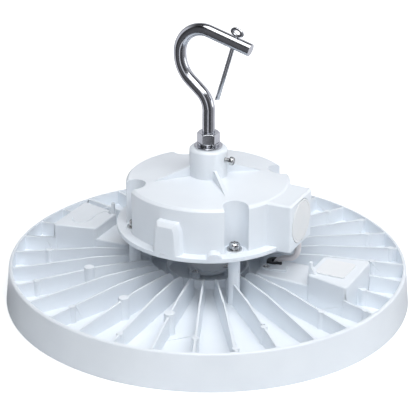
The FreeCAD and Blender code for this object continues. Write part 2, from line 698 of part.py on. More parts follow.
def bump():
    """The upright relief on the front of the wall, bevelled at its top and sides."""
    foot, top = BUMP_HALF_FOOT, BUMP_HALF_TOP
    bend_at = BUMP_TOP - BUMP_SHOULDER
    corners = [(-foot, HOUSING_BASE), (foot, HOUSING_BASE), (foot - BUMP_LEAN, bend_at),
               (top, BUMP_TOP), (-top, BUMP_TOP), (BUMP_LEAN - foot, bend_at)]
    inner = WALL_RADIUS - 2 * HOUSING_WALL
    outer = FLANGE_RADIUS - BUMP_INSET
    face = Part.Face(Part.makePolygon([V(inner, y, z) for y, z in corners + corners[:1]]))
    body = face.extrude(V(outer - inner, 0, 0))
    front = [edge for edge in body.Edges if abs(edge.BoundBox.XMin - outer) < NEAR
             and abs(edge.BoundBox.XMax - outer) < NEAR and edge.BoundBox.ZMax > HOUSING_BASE + EMBED]
    body = body.makeChamfer(BUMP_BEVEL, front)
    return turned(body.common(cylinder(FLANGE_RADIUS, HOUSING_BASE, BUMP_TOP)), BUMP_ANGLE)


def key():
    """The small half-round lug that stands on the flange beside a screw."""
    low, high = HOUSING_BASE, HOUSING_BASE + KEY_HEIGHT
    ring = tube(FLANGE_RADIUS, WALL_RADIUS - EMBED, low, high)
    arch = Part.makeCylinder(KEY_HALF, FLANGE_RADIUS, V(0, 0, high - KEY_HALF), V(1, 0, 0))
    straight = block(0, FLANGE_RADIUS, -KEY_HALF, KEY_HALF, low - EMBED, high - KEY_HALF)
    return turned(ring.common(arch.fuse(straight)), KEY_ANGLE)


def gusset(angle):
    """A thin web from the collar down to the shoulder, toward one screw."""
    foot = SHOULDER - 2 * EMBED
    web = slab_xz([(COLLAR_RADIUS - EMBED, foot), (COLLAR_RADIUS - EMBED, GUSSET_TOP),
                   (COLLAR_RADIUS + GUSSET_LAND, GUSSET_TOP), (GUSSET_REACH, SHOULDER + GUSSET_TOE),
                   (GUSSET_REACH, foot)], -GUSSET_THICK / 2, GUSSET_THICK / 2)
    return turned(web, angle)


def housing_cavity():
    """The room for the driver inside the round wall and the wiring box."""
    top = SHOULDER - HOUSING_WALL
    inner = cylinder(WALL_RADIUS - HOUSING_WALL, HOUSING_BASE - EMBED, top)
    inner = inner.cut([turned(scallop(HOUSING_WALL, WALL_RADIUS), angle) for angle in POST_ANGLES])
    half = BOX_HALF - BOX_TAPER - BOX_BEVEL - HOUSING_WALL
    room = block(0, BOX_END - PLUG_DEPTH * 0.6, -half, half, FLANGE_TOP, BOX_TOP - HOUSING_WALL)
    return inner.fuse(room)


def housing_ports():
    """Everything drilled or threaded in the housing."""
    ports = [faceted(FLANGE_SCREW + CLEAR_HOLE, HOUSING_BASE - EMBED, FLANGE_PAD_TOP + EMBED, place)
             for place in POSTS]
    axis = V(1, 0, 0)
    face = V(PLUG_SEAT, 0, PLUG_HEIGHT)
    ports.append(Part.makeCylinder(PLUG_RADIUS + SLIP, PLUG_FLANGE + EMBED * 2, face, axis))
    ports.append(Part.makeCylinder(PLUG_THREAD + THREAD_GAP, PLUG_DEPTH, face - axis * PLUG_DEPTH, axis))
    ports.append(cylinder(EXIT_RADIUS, HOUSING_BASE - EMBED, FLANGE_TOP + EMBED, EXIT))
    ports.append(cylinder(HOOK_BAR + THREAD_GAP, HOOK_FOOT - EMBED, COLLAR_TOP + EMBED))
    lock = V(HOOK_BAR, 0, LOCK_SCREW_HEIGHT)
    ports.append(Part.makeCylinder(LOCK_SCREW_RADIUS + THREAD_GAP, COLLAR_RADIUS, lock, axis))
    return ports


def driver_housing():
    body = housing_round().fuse(wiring_box())
    channels = [turned(scallop(), angle) for angle in POST_ANGLES]
    body = body.cut(channels).removeSplitter()
    flange = cylinder(FLANGE_RADIUS, HOUSING_BASE, FLANGE_TOP)
    pads = [faceted(FLANGE_PAD_RADIUS, HOUSING_BASE, FLANGE_PAD_TOP, place, FLANGE_PAD_SIDES)
            for place in POSTS]
    body = body.multiFuse([flange, bump(), key()] + pads + [gusset(angle) for angle in POST_ANGLES])
    return body.cut([housing_cavity()] + housing_ports()).removeSplitter()


def base_outline(low, high):
    """The disc under the housing, notched round each post."""
    notch = POST_RADIUS + NOTCH_GAP
    disc = cylinder(WALL_RADIUS - BASE_MARGIN, low, high)
    cuts = [faceted(notch, low - EMBED, high + EMBED, place) for place in POSTS]
    cuts += [turned(block(POST_CIRCLE, FLANGE_RADIUS, -notch, notch, low - EMBED, high + EMBED), angle)
             for angle in POST_ANGLES]
    return disc.cut(cuts).removeSplitter()


def cable_exit():
    """The rubber grommet in the wiring box's floor."""
    body = tube(EXIT_RADIUS - SLIP / 2, CABLE_RADIUS, HOUSING_BASE, FLANGE_TOP, EXIT)
    lip = tube(EXIT_RADIUS + EXIT_LIP, CABLE_RADIUS, HOUSING_BASE - EXIT_LIP_THICK, HOUSING_BASE, EXIT)
    return body.fuse(lip).removeSplitter()


# ---------------------------------------------------------------- driver
def driver_board():
    x, y = DRIVER_HALF_X, DRIVER_HALF_Y
    return block(-x, x, -y, y, DRIVER_LOW, DRIVER_TOP)


def transformer():
    """A ferrite core of two E halves round a wound bobbin."""
    length, width, height = CORE_SIZE
    left, right, top = CORE_X - length / 2, CORE_X + length / 2, DRIVER_TOP + height
    core = block(left, right, -width / 4, width / 4, DRIVER_TOP, top)
    half = WINDOW_WIDTH / 2
    windows = [block(CORE_X + side - half, CORE_X + side + half, -width, width, DRIVER_TOP + CORE_WALL,
                     top - CORE_WALL) for side in (-length / 4, length / 4)]
    coil = faceted(COIL_RADIUS, DRIVER_TOP + CORE_WALL + COIL_GAP, top - CORE_WALL - COIL_GAP, V(CORE_X, 0, 0))
    foot = block(left, right, -width / 2, width / 2, DRIVER_TOP, DRIVER_TOP + BOBBIN_FOOT)
    return core.cut(windows).multiFuse([coil, foot]).removeSplitter()


def capacitors():
    shapes = []
    for x, y, radius, height in CAPACITORS:
        shapes.append(faceted(radius, DRIVER_TOP, DRIVER_TOP + height, V(x, y, 0)))
    return shapes


def terminal_block():
    """A moulded block with a wire entry for each way."""
    x0, x1, half, height = TERMINAL
    body = block(x0, x1, -half, half, DRIVER_TOP, DRIVER_TOP + height)
    pitch = 2 * half / TERMINAL_WAYS
    sill = DRIVER_TOP + TERMINAL_SILL
    ways = [block((x0 + x1) / 2, x1 + EMBED, -half + (index + TERMINAL_RIB) * pitch,
                  -half + (index + 1 - TERMINAL_RIB) * pitch, sill, sill + TERMINAL_ENTRY)
            for index in range(TERMINAL_WAYS)]
    return body.cut(ways)


def base_gasket():
    ring = base_outline(BASE_TOP, HOUSING_BASE)
    return ring.cut(cylinder(WALL_RADIUS - BASE_MARGIN - GASKET_WIDTH, BASE_TOP - EMBED, HOUSING_BASE + EMBED))


def base_plate():
    """The sheet that closes the housing, with a pressed stand-off under each corner of the driver."""
    plate = base_outline(BASE_TOP - BASE_THICK, BASE_TOP)
    standoffs = [faceted(STANDOFF_RADIUS, BASE_TOP - EMBED, DRIVER_LOW, place) for place in STANDOFF_PLACES]
    return plate.multiFuse(standoffs).removeSplitter()


# ---------------------------------------------------------------- plug, screws and washers
def plug():
    """The screwed blanking plug of the wiring entry."""
    axis = V(1, 0, 0)
    seat = V(PLUG_SEAT + SEAL_THICK, 0, PLUG_HEIGHT)
    thick = PLUG_FLANGE - SEAL_THICK
    face = seat.x + thick
    disc = Part.makeCylinder(PLUG_RADIUS, thick, seat, axis)
    thread = Part.makeCylinder(PLUG_THREAD, PLUG_DEPTH - EMBED, V(face - PLUG_DEPTH, 0, PLUG_HEIGHT), axis)
    return disc.fuse(thread).removeSplitter()


def plug_seal():
    axis = V(1, 0, 0)
    seat = V(PLUG_SEAT, 0, PLUG_HEIGHT)
    ring = Part.makeCylinder(PLUG_RADIUS - SEAL_MARGIN, SEAL_THICK, seat, axis)
    return ring.cut(Part.makeCylinder(PLUG_THREAD + SLIP, SEAL_THICK, seat, axis))


def pan_screw(at, seat):
    """A pan head screw with a cross recess, head up."""
    shank = faceted(FLANGE_SCREW, seat - FLANGE_SCREW_LENGTH, seat, at)
    crown = seat + FLANGE_HEAD_HEIGHT
    head = bevelled_top(faceted(FLANGE_HEAD_RADIUS, seat, crown, at), crown, FLANGE_HEAD_BEVEL)
    half, reach, depth = FLANGE_SLOT_HALF, FLANGE_SLOT_REACH, crown - FLANGE_SLOT_DEPTH
    cross = block(at.x - half, at.x + half, at.y - reach, at.y + reach, depth, crown + EMBED).fuse(
        block(at.x - reach, at.x + reach, at.y - half, at.y + half, depth, crown + EMBED))
    return shank.fuse(head).cut(cross).removeSplitter()


def split_ring(ring, low, high, at, reach, gap, angle):
    """A spring washer cut through so that its ends stand a little apart."""
    mouth = turned(block(0, reach + EMBED, -gap / 2, gap / 2, low - EMBED, high + EMBED), angle)
    return ring.cut(moved(mouth, V(at.x, at.y, 0)))


def flange_stack():
    """Flat washers, spring washers and screws on the four posts."""
    washers, springs, screws = [], [], []
    hole = FLANGE_SCREW + SLIP
    low = FLANGE_PAD_TOP
    middle = low + FLANGE_WASHER_THICK
    high = middle + FLANGE_SPRING_THICK
    for place, angle in zip(POSTS, POST_ANGLES):
        washers.append(plate_ring(FLANGE_WASHER_RADIUS, hole, low, middle, place))
        spring = plate_ring(FLANGE_SPRING_RADIUS, hole, middle, high, place)
        springs.append(split_ring(spring, middle, high, place, FLANGE_SPRING_RADIUS, FLANGE_SPRING_GAP, angle))
        screws.append(pan_screw(place, high))
    return washers, springs, screws


# ---------------------------------------------------------------- hook
def bend(start, heading, radius, turn):
    """An arc in the plane y = 0: returns its edge, end and new heading; a positive turn is to the left."""
    side = 1 if turn > 0 else -1
    centre = start + heading_vector(heading + 90 * side) * radius
    out = heading - 90 * side
    middle = centre + heading_vector(out + turn / 2) * radius
    end = centre + heading_vector(out + turn) * radius
    return Part.Arc(start, middle, end).toShape(), end, heading + turn


def heading_vector(angle):
    turn = math.radians(angle)
    return V(math.cos(turn), 0, math.sin(turn))


def hook_path():
    """Centre line of the bar, from the foot of the shank to the tip of the arm."""
    foot = V(0, 0, HOOK_FOOT)
    neck = V(0, 0, HOOK_NECK)
    edges = [Part.LineSegment(foot, neck).toShape()]
    edge, point, heading = bend(neck, 90, NECK_RADIUS, NECK_TURN)
    edges.append(edge)
    after = point + heading_vector(heading) * NECK_RUN
    edges.append(Part.LineSegment(point, after).toShape())
    edge, point, heading = bend(after, heading, BACK_RADIUS, -NECK_TURN)
    edges.append(edge)
    after = point + heading_vector(heading) * BACK_RUN
    edges.append(Part.LineSegment(point, after).toShape())
    edge, point, heading = bend(after, heading, TOP_RADIUS, -90 - ARM_FALL)
    edges.append(edge)
    edges.append(Part.LineSegment(point, point + heading_vector(heading) * ARM_RUN).toShape())
    return edges, point, heading


def pin_axis():
    """Where the split pin crosses the arm's axis, and the way it points down."""
    edges, start, heading = hook_path()
    return start + heading_vector(heading) * PIN_STATION, heading_vector(heading - 90)


def hook():
    edges, start, heading = hook_path()
    section = Part.Wire([Part.makeCircle(HOOK_BAR, V(0, 0, HOOK_FOOT), UP)])
    bar = Part.Wire(edges).makePipeShell([section], True, False)
    crossing, down = pin_axis()
    reach = down * (HOOK_BAR + EMBED)
    return bar.cut(rod(PIN_RADIUS + SLIP / 2, crossing - reach, crossing + reach))


def oval(centre, along, down, half_long, half_short, across):
    """An oval slab about a centre, as thick as across."""
    rim = Part.Ellipse(centre + along * half_long, centre + down * half_short, centre)
    slab = Part.Face(Part.Wire([rim.toShape()])).extrude(across)
    slab.translate(across * -0.5)
    return slab


def safety_pin():
    """A split pin: an oval eye over two half-round legs of different length."""
    crossing, down = pin_axis()
    ring_centre = crossing - down * (HOOK_BAR + PIN_EYE_SHORT + THREAD_GAP)
    across = V(0, PIN_EYE_WIRE, 0)
    along = down.cross(across).normalize()
    eye = oval(ring_centre, along, down, PIN_EYE_LONG, PIN_EYE_SHORT, across).cut(
        oval(ring_centre, along, down, PIN_EYE_LONG - PIN_EYE_WIRE, PIN_EYE_SHORT - PIN_EYE_WIRE, across))
    legs = rod(PIN_RADIUS, ring_centre + down * (PIN_EYE_SHORT - PIN_EYE_WIRE / 2), crossing + down * PIN_BELOW)
    width = PIN_RADIUS * 2
    slit = Part.makeBox(PIN_SLIT, width * 2, PIN_BELOW * 2, V(0, 0, 0))
    slit.translate(V(-PIN_SLIT / 2, -width, 0))
    below = crossing + down * (HOOK_BAR + PIN_SPLIT_START)
    slit.Placement = FreeCAD.Placement(below, FreeCAD.Rotation(UP, down)).multiply(slit.Placement)
    short = Part.makeBox(width, width * 2, PIN_SHORT_LEG * 2, V(0, -width, PIN_BELOW - PIN_SHORT_LEG))
    short.Placement = FreeCAD.Placement(crossing, FreeCAD.Rotation(UP, down)).multiply(short.Placement)
    return eye.fuse(legs).cut([slit, short]).removeSplitter()


def lock_screw():
    """The screw through the collar's side that stops the shank turning."""
    axis = V(1, 0, 0)
    tip = V(HOOK_BAR, 0, LOCK_SCREW_HEIGHT)
    length = COLLAR_RADIUS - HOOK_BAR + LOCK_SCREW_SHOWS
    shank = Part.makeCylinder(LOCK_SCREW_RADIUS, length, tip, axis)
    head_at = tip + axis * length
    head = Part.makeCylinder(LOCK_HEAD_RADIUS, LOCK_HEAD_LENGTH, head_at, axis)
    return shank.fuse(head).removeSplitter()


def hook_spring():
    low = COLLAR_TOP + WASHER_THICK
    high = low + SPRING_THICK
    ring = tube(SPRING_RADIUS, HOOK_BAR + SLIP, low, high)
    return split_ring(ring, low, high, ORIGIN, SPRING_RADIUS, SPRING_GAP, SPRING_BEARING)


def nut():
    """A hexagon nut, chamfered at its upper face."""
    low = COLLAR_TOP + WASHER_THICK + SPRING_THICK
    high = low + NUT_HEIGHT
    corner = NUT_FLATS / math.sqrt(3)
    body = hexagon(NUT_FLATS, low, high)
    slope = (corner - NUT_FLATS / 2) * math.tan(math.radians(NUT_CHAMFER))
    barrel = spun([(0, low), (corner, low), (corner, high - slope), (NUT_FLATS / 2, high), (0, high)])
    return body.common(barrel).cut(cylinder(HOOK_BAR + THREAD_GAP, low - EMBED, high + EMBED))


def main():
    os.makedirs("parts", exist_ok=True)
    save("heat_sink", heat_sink())
    save("led_board", led_board())
    save("leds", *leds())
    save("lens_gasket", lens_gasket())
    save("lens_cover", lens_cover())
    save("lens_screws", *[lens_screw(place) for place in LENS_SCREWS])
    save("pocket_cap", pocket_cap())
    save("hub_cover", hub_cover())
    save("cable_entry_grommet", cable_entry())
    save("grommet_retainer", retainer())
    save("output_cable", cable())
    save("cable_exit_grommet", cable_exit())
    save("driver_housing", driver_housing())
    save("base_gasket", base_gasket())
    save("base_plate", base_plate())
    save("driver_board", driver_board())
    save("transformer", transformer())
    save("capacitors", *capacitors())
    save("terminal_block", terminal_block())
    save("entry_plug", plug())
    save("plug_seal", plug_seal())
    washers, springs, screws = flange_stack()
    save("flange_washers", *washers)
    save("flange_spring_washers", *springs)
    save("flange_screws", *screws)
    save("hook", hook())
    save("hook_washer", tube(WASHER_RADIUS, HOOK_BAR + SLIP, COLLAR_TOP, COLLAR_TOP + WASHER_THICK))
    save("hook_spring_washer", hook_spring())
    save("hook_nut", nut())
    save("lock_screw", lock_screw())
    save("safety_pin", safety_pin())


main()
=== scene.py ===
"""High bay light: the finishes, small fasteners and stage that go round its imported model.

Laid out as an add-on: the sizes and colours that a user would change are properties, each piece or
group of like pieces has one operator, and one panel lists them all.  Everything is in metres, +Z up.
"""
import json
import math

import bpy
from mathutils import Matrix, Vector

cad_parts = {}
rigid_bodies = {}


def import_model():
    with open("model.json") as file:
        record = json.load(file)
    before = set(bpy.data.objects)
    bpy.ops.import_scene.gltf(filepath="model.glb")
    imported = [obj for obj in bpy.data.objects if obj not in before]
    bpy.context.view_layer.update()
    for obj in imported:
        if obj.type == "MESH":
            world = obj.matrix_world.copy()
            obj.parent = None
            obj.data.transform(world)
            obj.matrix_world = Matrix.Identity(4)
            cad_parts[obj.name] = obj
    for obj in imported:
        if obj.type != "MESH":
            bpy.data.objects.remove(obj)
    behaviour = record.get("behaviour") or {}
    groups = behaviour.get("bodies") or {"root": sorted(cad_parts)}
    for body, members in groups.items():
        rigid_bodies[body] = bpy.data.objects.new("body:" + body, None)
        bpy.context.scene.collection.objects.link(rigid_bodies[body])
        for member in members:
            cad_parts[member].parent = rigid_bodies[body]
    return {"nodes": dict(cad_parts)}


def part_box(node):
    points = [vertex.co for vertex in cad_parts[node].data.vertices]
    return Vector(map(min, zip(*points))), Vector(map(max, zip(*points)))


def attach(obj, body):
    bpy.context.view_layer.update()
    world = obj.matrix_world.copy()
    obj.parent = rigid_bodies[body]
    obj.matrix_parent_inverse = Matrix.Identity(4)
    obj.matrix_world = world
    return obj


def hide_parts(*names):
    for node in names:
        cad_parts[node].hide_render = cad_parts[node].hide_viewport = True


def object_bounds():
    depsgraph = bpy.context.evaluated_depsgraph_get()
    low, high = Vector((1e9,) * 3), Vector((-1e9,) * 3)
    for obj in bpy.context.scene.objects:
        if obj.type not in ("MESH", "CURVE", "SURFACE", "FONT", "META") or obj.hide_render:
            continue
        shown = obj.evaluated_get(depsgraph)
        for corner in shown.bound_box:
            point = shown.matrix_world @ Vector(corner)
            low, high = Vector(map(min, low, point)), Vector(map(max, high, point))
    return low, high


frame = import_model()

bl_info = {
    "name": "High bay light",
    "version": (1, 0, 0),
    "blender": (4, 5, 0),
    "location": "3D View > Sidebar > High bay",
    "description": "Finishes and small pieces of a round finned high bay light",
    "category": "Object",
}

CAD_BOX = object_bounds()
NODES = frame["nodes"]
BODY = "root"
MM = 0.001


# ---------------------------------------------------------------- colour and node helpers
def linear(code):
    """A #RRGGBB colour as linear red, green and blue."""
    shares = [int(code[index:index + 2], 16) / 255 for index in (1, 3, 5)]
    return tuple(share / 12.92 if share <= 0.04045 else ((share + 0.055) / 1.055) ** 2.4
                 for share in shares)


def add(tree, kind, inputs=None, links=None, **settings):
    """Adds a node with its settings, its sockets' values and the links that feed it."""
    node = tree.nodes.new(kind)
    for name, value in settings.items():
        setattr(node, name, value)
    for name, value in (inputs or {}).items():
        node.inputs[name].default_value = value
    for name, source in (links or {}).items():
        tree.links.new(source, node.inputs[name])
    return node


def new_material(name):
    """An empty node material with its output and the object's own coordinates."""
    material = bpy.data.materials.new(name)
    material.use_nodes = True
    tree = material.node_tree
    tree.nodes.clear()
    output = add(tree, "ShaderNodeOutputMaterial")
    place = add(tree, "ShaderNodeTexCoord")
    return material, tree, output, place.outputs["Object"]


# ---------------------------------------------------------------- materials
# The middle share of a cloud pattern, over which the colour goes from the darker to the lighter shade
CLOUD_SHARE = (0.3, 0.7)


def surface(name, shades, rough, constants, cloud, grain=None, depth=None, detail=3.0, stretch=None):
    """A finish whose colour drifts between two shades, with gloss and relief that follow finer grains.

    rough is its least and most roughness; cloud, grain and depth are sizes in metres.
    """
    material, tree, output, place = new_material(name)
    pattern = add(tree, "ShaderNodeTexNoise", {"Scale": 1 / cloud, "Detail": 2.0, "Roughness": 0.5},
                  {"Vector": place}).outputs["Fac"]
    colours = add(tree, "ShaderNodeValToRGB", links={"Fac": pattern})
    for element, position, shade in zip(colours.color_ramp.elements, CLOUD_SHARE, shades):
        element.position = position
        element.color = (*shade, 1)
    links = {"Base Color": colours.outputs["Color"]}
    if grain:
        if stretch:
            place = add(tree, "ShaderNodeMapping", {"Scale": stretch}, {"Vector": place}).outputs["Vector"]
        pattern = add(tree, "ShaderNodeTexNoise", {"Scale": 1 / grain, "Detail": detail, "Roughness": 0.5},
                      {"Vector": place}).outputs["Fac"]
        links["Normal"] = add(tree, "ShaderNodeBump", {"Distance": depth, "Strength": 1.0},
                              {"Height": pattern}).outputs["Normal"]
    links["Roughness"] = add(tree, "ShaderNodeMapRange", {"To Min": rough[0], "To Max": rough[1]},
                             {"Value": pattern}).outputs["Result"]
    shader = add(tree, "ShaderNodeBsdfPrincipled", constants, links)
    tree.links.new(shader.outputs["BSDF"], output.inputs["Surface"])
    return material


def powder_coat(name, shades, rough):
    """Polyester powder baked on a die casting: satin under a thin gloss, with a faint orange peel.

    The real peel of about 0.3 mm is too fine to show, so it is drawn at 1.4 mm.
    """
    return surface(name, shades, (rough - 0.05, rough + 0.05),
                   {"IOR": 1.5, "Coat Weight": 0.25, "Coat Roughness": 0.2}, 40 * MM, 1.4 * MM, 0.03 * MM)


def moulded(name, shades, rough, grain=0.5 * MM, depth=0.02 * MM):
    """An injection-moulded plastic or rubber: even in colour, soft in gloss, with a spark-eroded grain.

    The real grain of about 0.1 mm is too fine to show, so it is drawn at 0.3 to 1 mm.
    """
    return surface(name, shades, (rough - 0.06, rough + 0.06), {"IOR": 1.49}, 18 * MM, grain, depth)


def metal(name, shades, rough, grain, depth, stretch=None):
    """A bare or plated metal: bright, and dulled a little by polishing or rolling marks.

    The real marks are hundredths of a millimetre, too fine to show, and are drawn at 0.5 to 0.8 mm.
    """
    return surface(name, shades, (rough * 0.75, rough * 1.25), {"Metallic": 1.0}, 9 * MM, grain, depth,
                   4.0, stretch)


def toughened_glass(name, shades):
    """Clear soda-lime sheet: smooth, with a faint green cast."""
    return surface(name, shades, (0.02, 0.05), {"IOR": 1.5, "Transmission Weight": 1.0}, 60 * MM)


class FinishColours(bpy.types.PropertyGroup):
    """The darker and lighter shade of each white finish that shows."""

    coat_low: bpy.props.FloatVectorProperty(
        name="Coat, darker", description="Darker shade of the castings' powder coat",
        default=linear("#E9EFF6"), size=3, min=0, max=1, subtype="COLOR")
    coat_high: bpy.props.FloatVectorProperty(
        name="Coat, lighter", description="Lighter shade of the castings' powder coat",
        default=linear("#EEF4FA"), size=3, min=0, max=1, subtype="COLOR")
    cap_low: bpy.props.FloatVectorProperty(
        name="Cap, darker", description="Darker shade of the pocket's nylon cap",
        default=linear("#E9ECEF"), size=3, min=0, max=1, subtype="COLOR")
    cap_high: bpy.props.FloatVectorProperty(
        name="Cap, lighter", description="Lighter shade of the pocket's nylon cap",
        default=linear("#EEF0F3"), size=3, min=0, max=1, subtype="COLOR")
    plug_low: bpy.props.FloatVectorProperty(
        name="Plug, darker", description="Darker shade of the wiring entry's nylon plug",
        default=linear("#EBEEF0"), size=3, min=0, max=1, subtype="COLOR")
    plug_high: bpy.props.FloatVectorProperty(
        name="Plug, lighter", description="Lighter shade of the wiring entry's nylon plug",
        default=linear("#F0F1F2"), size=3, min=0, max=1, subtype="COLOR")
    jacket_low: bpy.props.FloatVectorProperty(
        name="Lead, darker", description="Darker shade of the lead's jacket",
        default=linear("#E9E4E5"), size=3, min=0, max=1, subtype="COLOR")
    jacket_high: bpy.props.FloatVectorProperty(
        name="Lead, lighter", description="Lighter shade of the lead's jacket",
        default=linear("#EFEAEB"), size=3, min=0, max=1, subtype="COLOR")


def pair(low, high):
    """Two hex colours as the darker and lighter shade of a finish."""
    return linear(low), linear(high)


def build_finishes(colours):
    """Every finish of the light by its plain name."""
    return {
        "white powder coat": powder_coat("white_powder_coat", (colours.coat_low, colours.coat_high), 0.36),
        "cap nylon": moulded("bright_white_nylon", (colours.cap_low, colours.cap_high), 0.4),
        "plug nylon": moulded("warm_white_nylon", (colours.plug_low, colours.plug_high), 0.45),
        "cable jacket": moulded("white_cable_jacket", (colours.jacket_low, colours.jacket_high), 0.38,
                                0.8 * MM),
        "black silicone": moulded("black_silicone_rubber", pair("#202225", "#2A2C30"), 0.5),
        "nickel plate": metal("polished_nickel_plate", pair("#B9BCC2", "#CBCDD2"), 0.15, 0.6 * MM,
                              0.004 * MM),
        "zinc plate": metal("bright_zinc_plate", pair("#BDBFC2", "#D0D0CF"), 0.24, 0.5 * MM, 0.01 * MM),
        "sheet aluminium": metal("rolled_sheet_aluminium", pair("#B4B8BD", "#C4C8CC"), 0.36, 0.8 * MM,
                                 0.01 * MM, (0.1, 1, 1)),
        "solder mask": moulded("white_solder_mask", pair("#ECECE6", "#F3F3EE"), 0.3, 1 * MM, 0.01 * MM),
        "package": moulded("white_led_package", pair("#EDEDE8", "#F4F4F0"), 0.35, 0.3 * MM),
        "phosphor": moulded("yellow_led_phosphor", pair("#E3C24B", "#EED05E"), 0.35, 0.4 * MM),
        "glass": toughened_glass("toughened_clear_glass", pair("#F1F8F5", "#F8FCFA")),
        "laminate": moulded("green_glass_fibre_laminate", pair("#1F4D2E", "#2A5F3A"), 0.35, 0.7 * MM),
        "ferrite": moulded("sintered_ferrite", pair("#26272A", "#303135"), 0.6, 0.9 * MM, 0.05 * MM),
        "shrink sleeve": moulded("navy_shrink_sleeve", pair("#1A2238", "#222B45"), 0.25),
        "terminal nylon": moulded("green_terminal_nylon", pair("#2C6B43", "#357A4E"), 0.4),
    }


NODE_FINISH = {
    "heat_sink": "white powder coat", "driver_housing": "white powder coat",
    "hub_cover": "white powder coat", "grommet_retainer": "white powder coat",
    "pocket_cap": "cap nylon", "entry_plug": "plug nylon", "plug_seal": "black silicone",
    "lens_gasket": "black silicone", "base_gasket": "black silicone",
    "cable_entry_grommet": "black silicone", "cable_exit_grommet": "black silicone",
    "output_cable": "cable jacket", "hook": "nickel plate", "hook_nut": "nickel plate",
    "hook_washer": "nickel plate", "hook_spring_washer": "nickel plate", "lock_screw": "zinc plate",
    "safety_pin": "nickel plate", "flange_washers": "zinc plate", "flange_spring_washers": "zinc plate",
    "flange_screws": "zinc plate", "lens_screws": "zinc plate", "base_plate": "sheet aluminium",
    "led_board": "solder mask", "leds": "package", "lens_cover": "glass", "driver_board": "laminate",
    "transformer": "ferrite", "capacitors": "shrink sleeve", "terminal_block": "terminal nylon",
}
FINISHES = {}


# ---------------------------------------------------------------- mesh helpers
def deselect():
    """Nothing is selected."""
    bpy.ops.object.select_all(action="DESELECT")


def pick(thing):
    """Only this object is selected and active."""
    deselect()
    thing.hide_viewport = False
    thing.select_set(True)
    bpy.context.view_layer.objects.active = thing
    return thing


def made(name):
    """The object that the last operator added, named."""
    thing = bpy.context.active_object
    thing.name = name
    thing.data.name = name
    return thing


def settle(thing):
    """Puts the object's place, turn and size into its mesh."""
    pick(thing)
    bpy.ops.object.transform_apply(location=True, rotation=True, scale=True)
    return thing


def modify(thing, kind, **settings):
    """Adds a modifier and applies it."""
    pick(thing)
    modifier = thing.modifiers.new(kind.title(), kind)
    for name, value in settings.items():
        setattr(modifier, name, value)
    bpy.ops.object.modifier_apply(modifier=modifier.name)
    return thing


def smooth(thing, angle=35):
    """Shades the object smooth over edges that turn by less than the angle in degrees."""
    pick(thing)
    bpy.ops.object.shade_smooth_by_angle(angle=math.radians(angle))
    return thing


def dress(thing, finish, *stood_for):
    """Gives a new piece its finish and body, and hides the CAD nodes it stands for."""
    thing.data.materials.clear()
    thing.data.materials.append(FINISHES[finish])
    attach(thing, BODY)
    if stood_for:
        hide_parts(*stood_for)
    return thing


def open_mesh(thing):
    """Edit mode on this object, with all of its mesh selected."""
    pick(thing)
    bpy.ops.object.mode_set(mode="EDIT")
    bpy.ops.mesh.select_all(action="SELECT")


def object_mode():
    """Leaves edit mode."""
    bpy.ops.object.mode_set(mode="OBJECT")


def face_picker(thing, wanted):
    """Leaves edit mode on, in face mode, with only the wanted faces selected."""
    pick(thing)
    bpy.ops.object.mode_set(mode="EDIT")
    bpy.ops.mesh.select_mode(type="FACE")
    bpy.ops.mesh.select_all(action="DESELECT")
    object_mode()
    for polygon in thing.data.polygons:
        polygon.select = wanted(polygon)
    bpy.ops.object.mode_set(mode="EDIT")


def is_top(polygon):
    return polygon.normal.z > 0.9


def is_bottom(polygon):
    return polygon.normal.z < -0.9


# Points nearer than this are one point, and facets that turn by less than this are one face
SAME_POINT = 0.001 * MM
SAME_PLANE = math.radians(0.4)


def twin(node, name):
    """A copy of a CAD node's mesh with its doubled points and coplanar facets merged."""
    pick(NODES[node])
    bpy.ops.object.duplicate()
    copy = made(name)
    for key in list(copy.keys()):
        if key.startswith("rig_"):
            del copy[key]
    bpy.ops.object.parent_clear(type="CLEAR_KEEP_TRANSFORM")
    open_mesh(copy)
    bpy.ops.mesh.remove_doubles(threshold=SAME_POINT)
    bpy.ops.mesh.dissolve_limited(angle_limit=SAME_PLANE)
    object_mode()
    if copy.data.has_custom_normals:
        bpy.ops.mesh.customdata_custom_splitnormals_clear()
    return copy


def bar(name, radius, low, high, sides=48):
    """An upright round bar about Z."""
    deselect()
    bpy.ops.mesh.primitive_cylinder_add(vertices=sides, radius=radius, depth=high - low,
                                        location=(0, 0, (low + high) / 2))
    return settle(made(name))


def brick(name, size, centre):
    """A square-edged block of a size in x, y and z about its centre."""
    deselect()
    bpy.ops.mesh.primitive_cube_add(size=1, location=centre)
    thing = made(name)
    thing.scale = size
    return settle(thing)


def scrap(thing):
    """Deletes an object."""
    pick(thing)
    bpy.ops.object.delete()


def carve(thing, cutter):
    """Cuts one mesh out of another and deletes the cutter."""
    modify(thing, "BOOLEAN", object=cutter, operation="DIFFERENCE", solver="EXACT")
    scrap(cutter)
    return thing


def weld(thing, other):
    """Adds one mesh to another as one solid and deletes the other."""
    modify(thing, "BOOLEAN", object=other, operation="UNION", solver="EXACT")
    scrap(other)
    return thing


def soften(thing, width, segments=3, angle=35):
    """Rounds the edges that turn by more than the angle in degrees, and shades the rest smooth."""
    modify(thing, "BEVEL", width=width, segments=segments, limit_method="ANGLE",
           angle_limit=math.radians(angle), use_clamp_overlap=False, loop_slide=False)
    smooth(thing, angle)
    return modify(thing, "WEIGHTED_NORMAL", mode="FACE_AREA", weight=50, keep_sharp=True)


def set_out(master, name, spots, finish, nodes=(), turn=(0, 0, 0), keep=False):
    """Copies a finished piece to each spot, each copy with its own mesh, and deletes the master."""
    for index, spot in enumerate(spots):
        pick(master)
        bpy.ops.object.duplicate()
        copy = made("%s_%d" % (name, index + 1))
        copy.location = spot
        copy.rotation_euler = [math.radians(angle) for angle in turn]
        dress(settle(copy), finish, *nodes)
    if not keep:
        scrap(master)


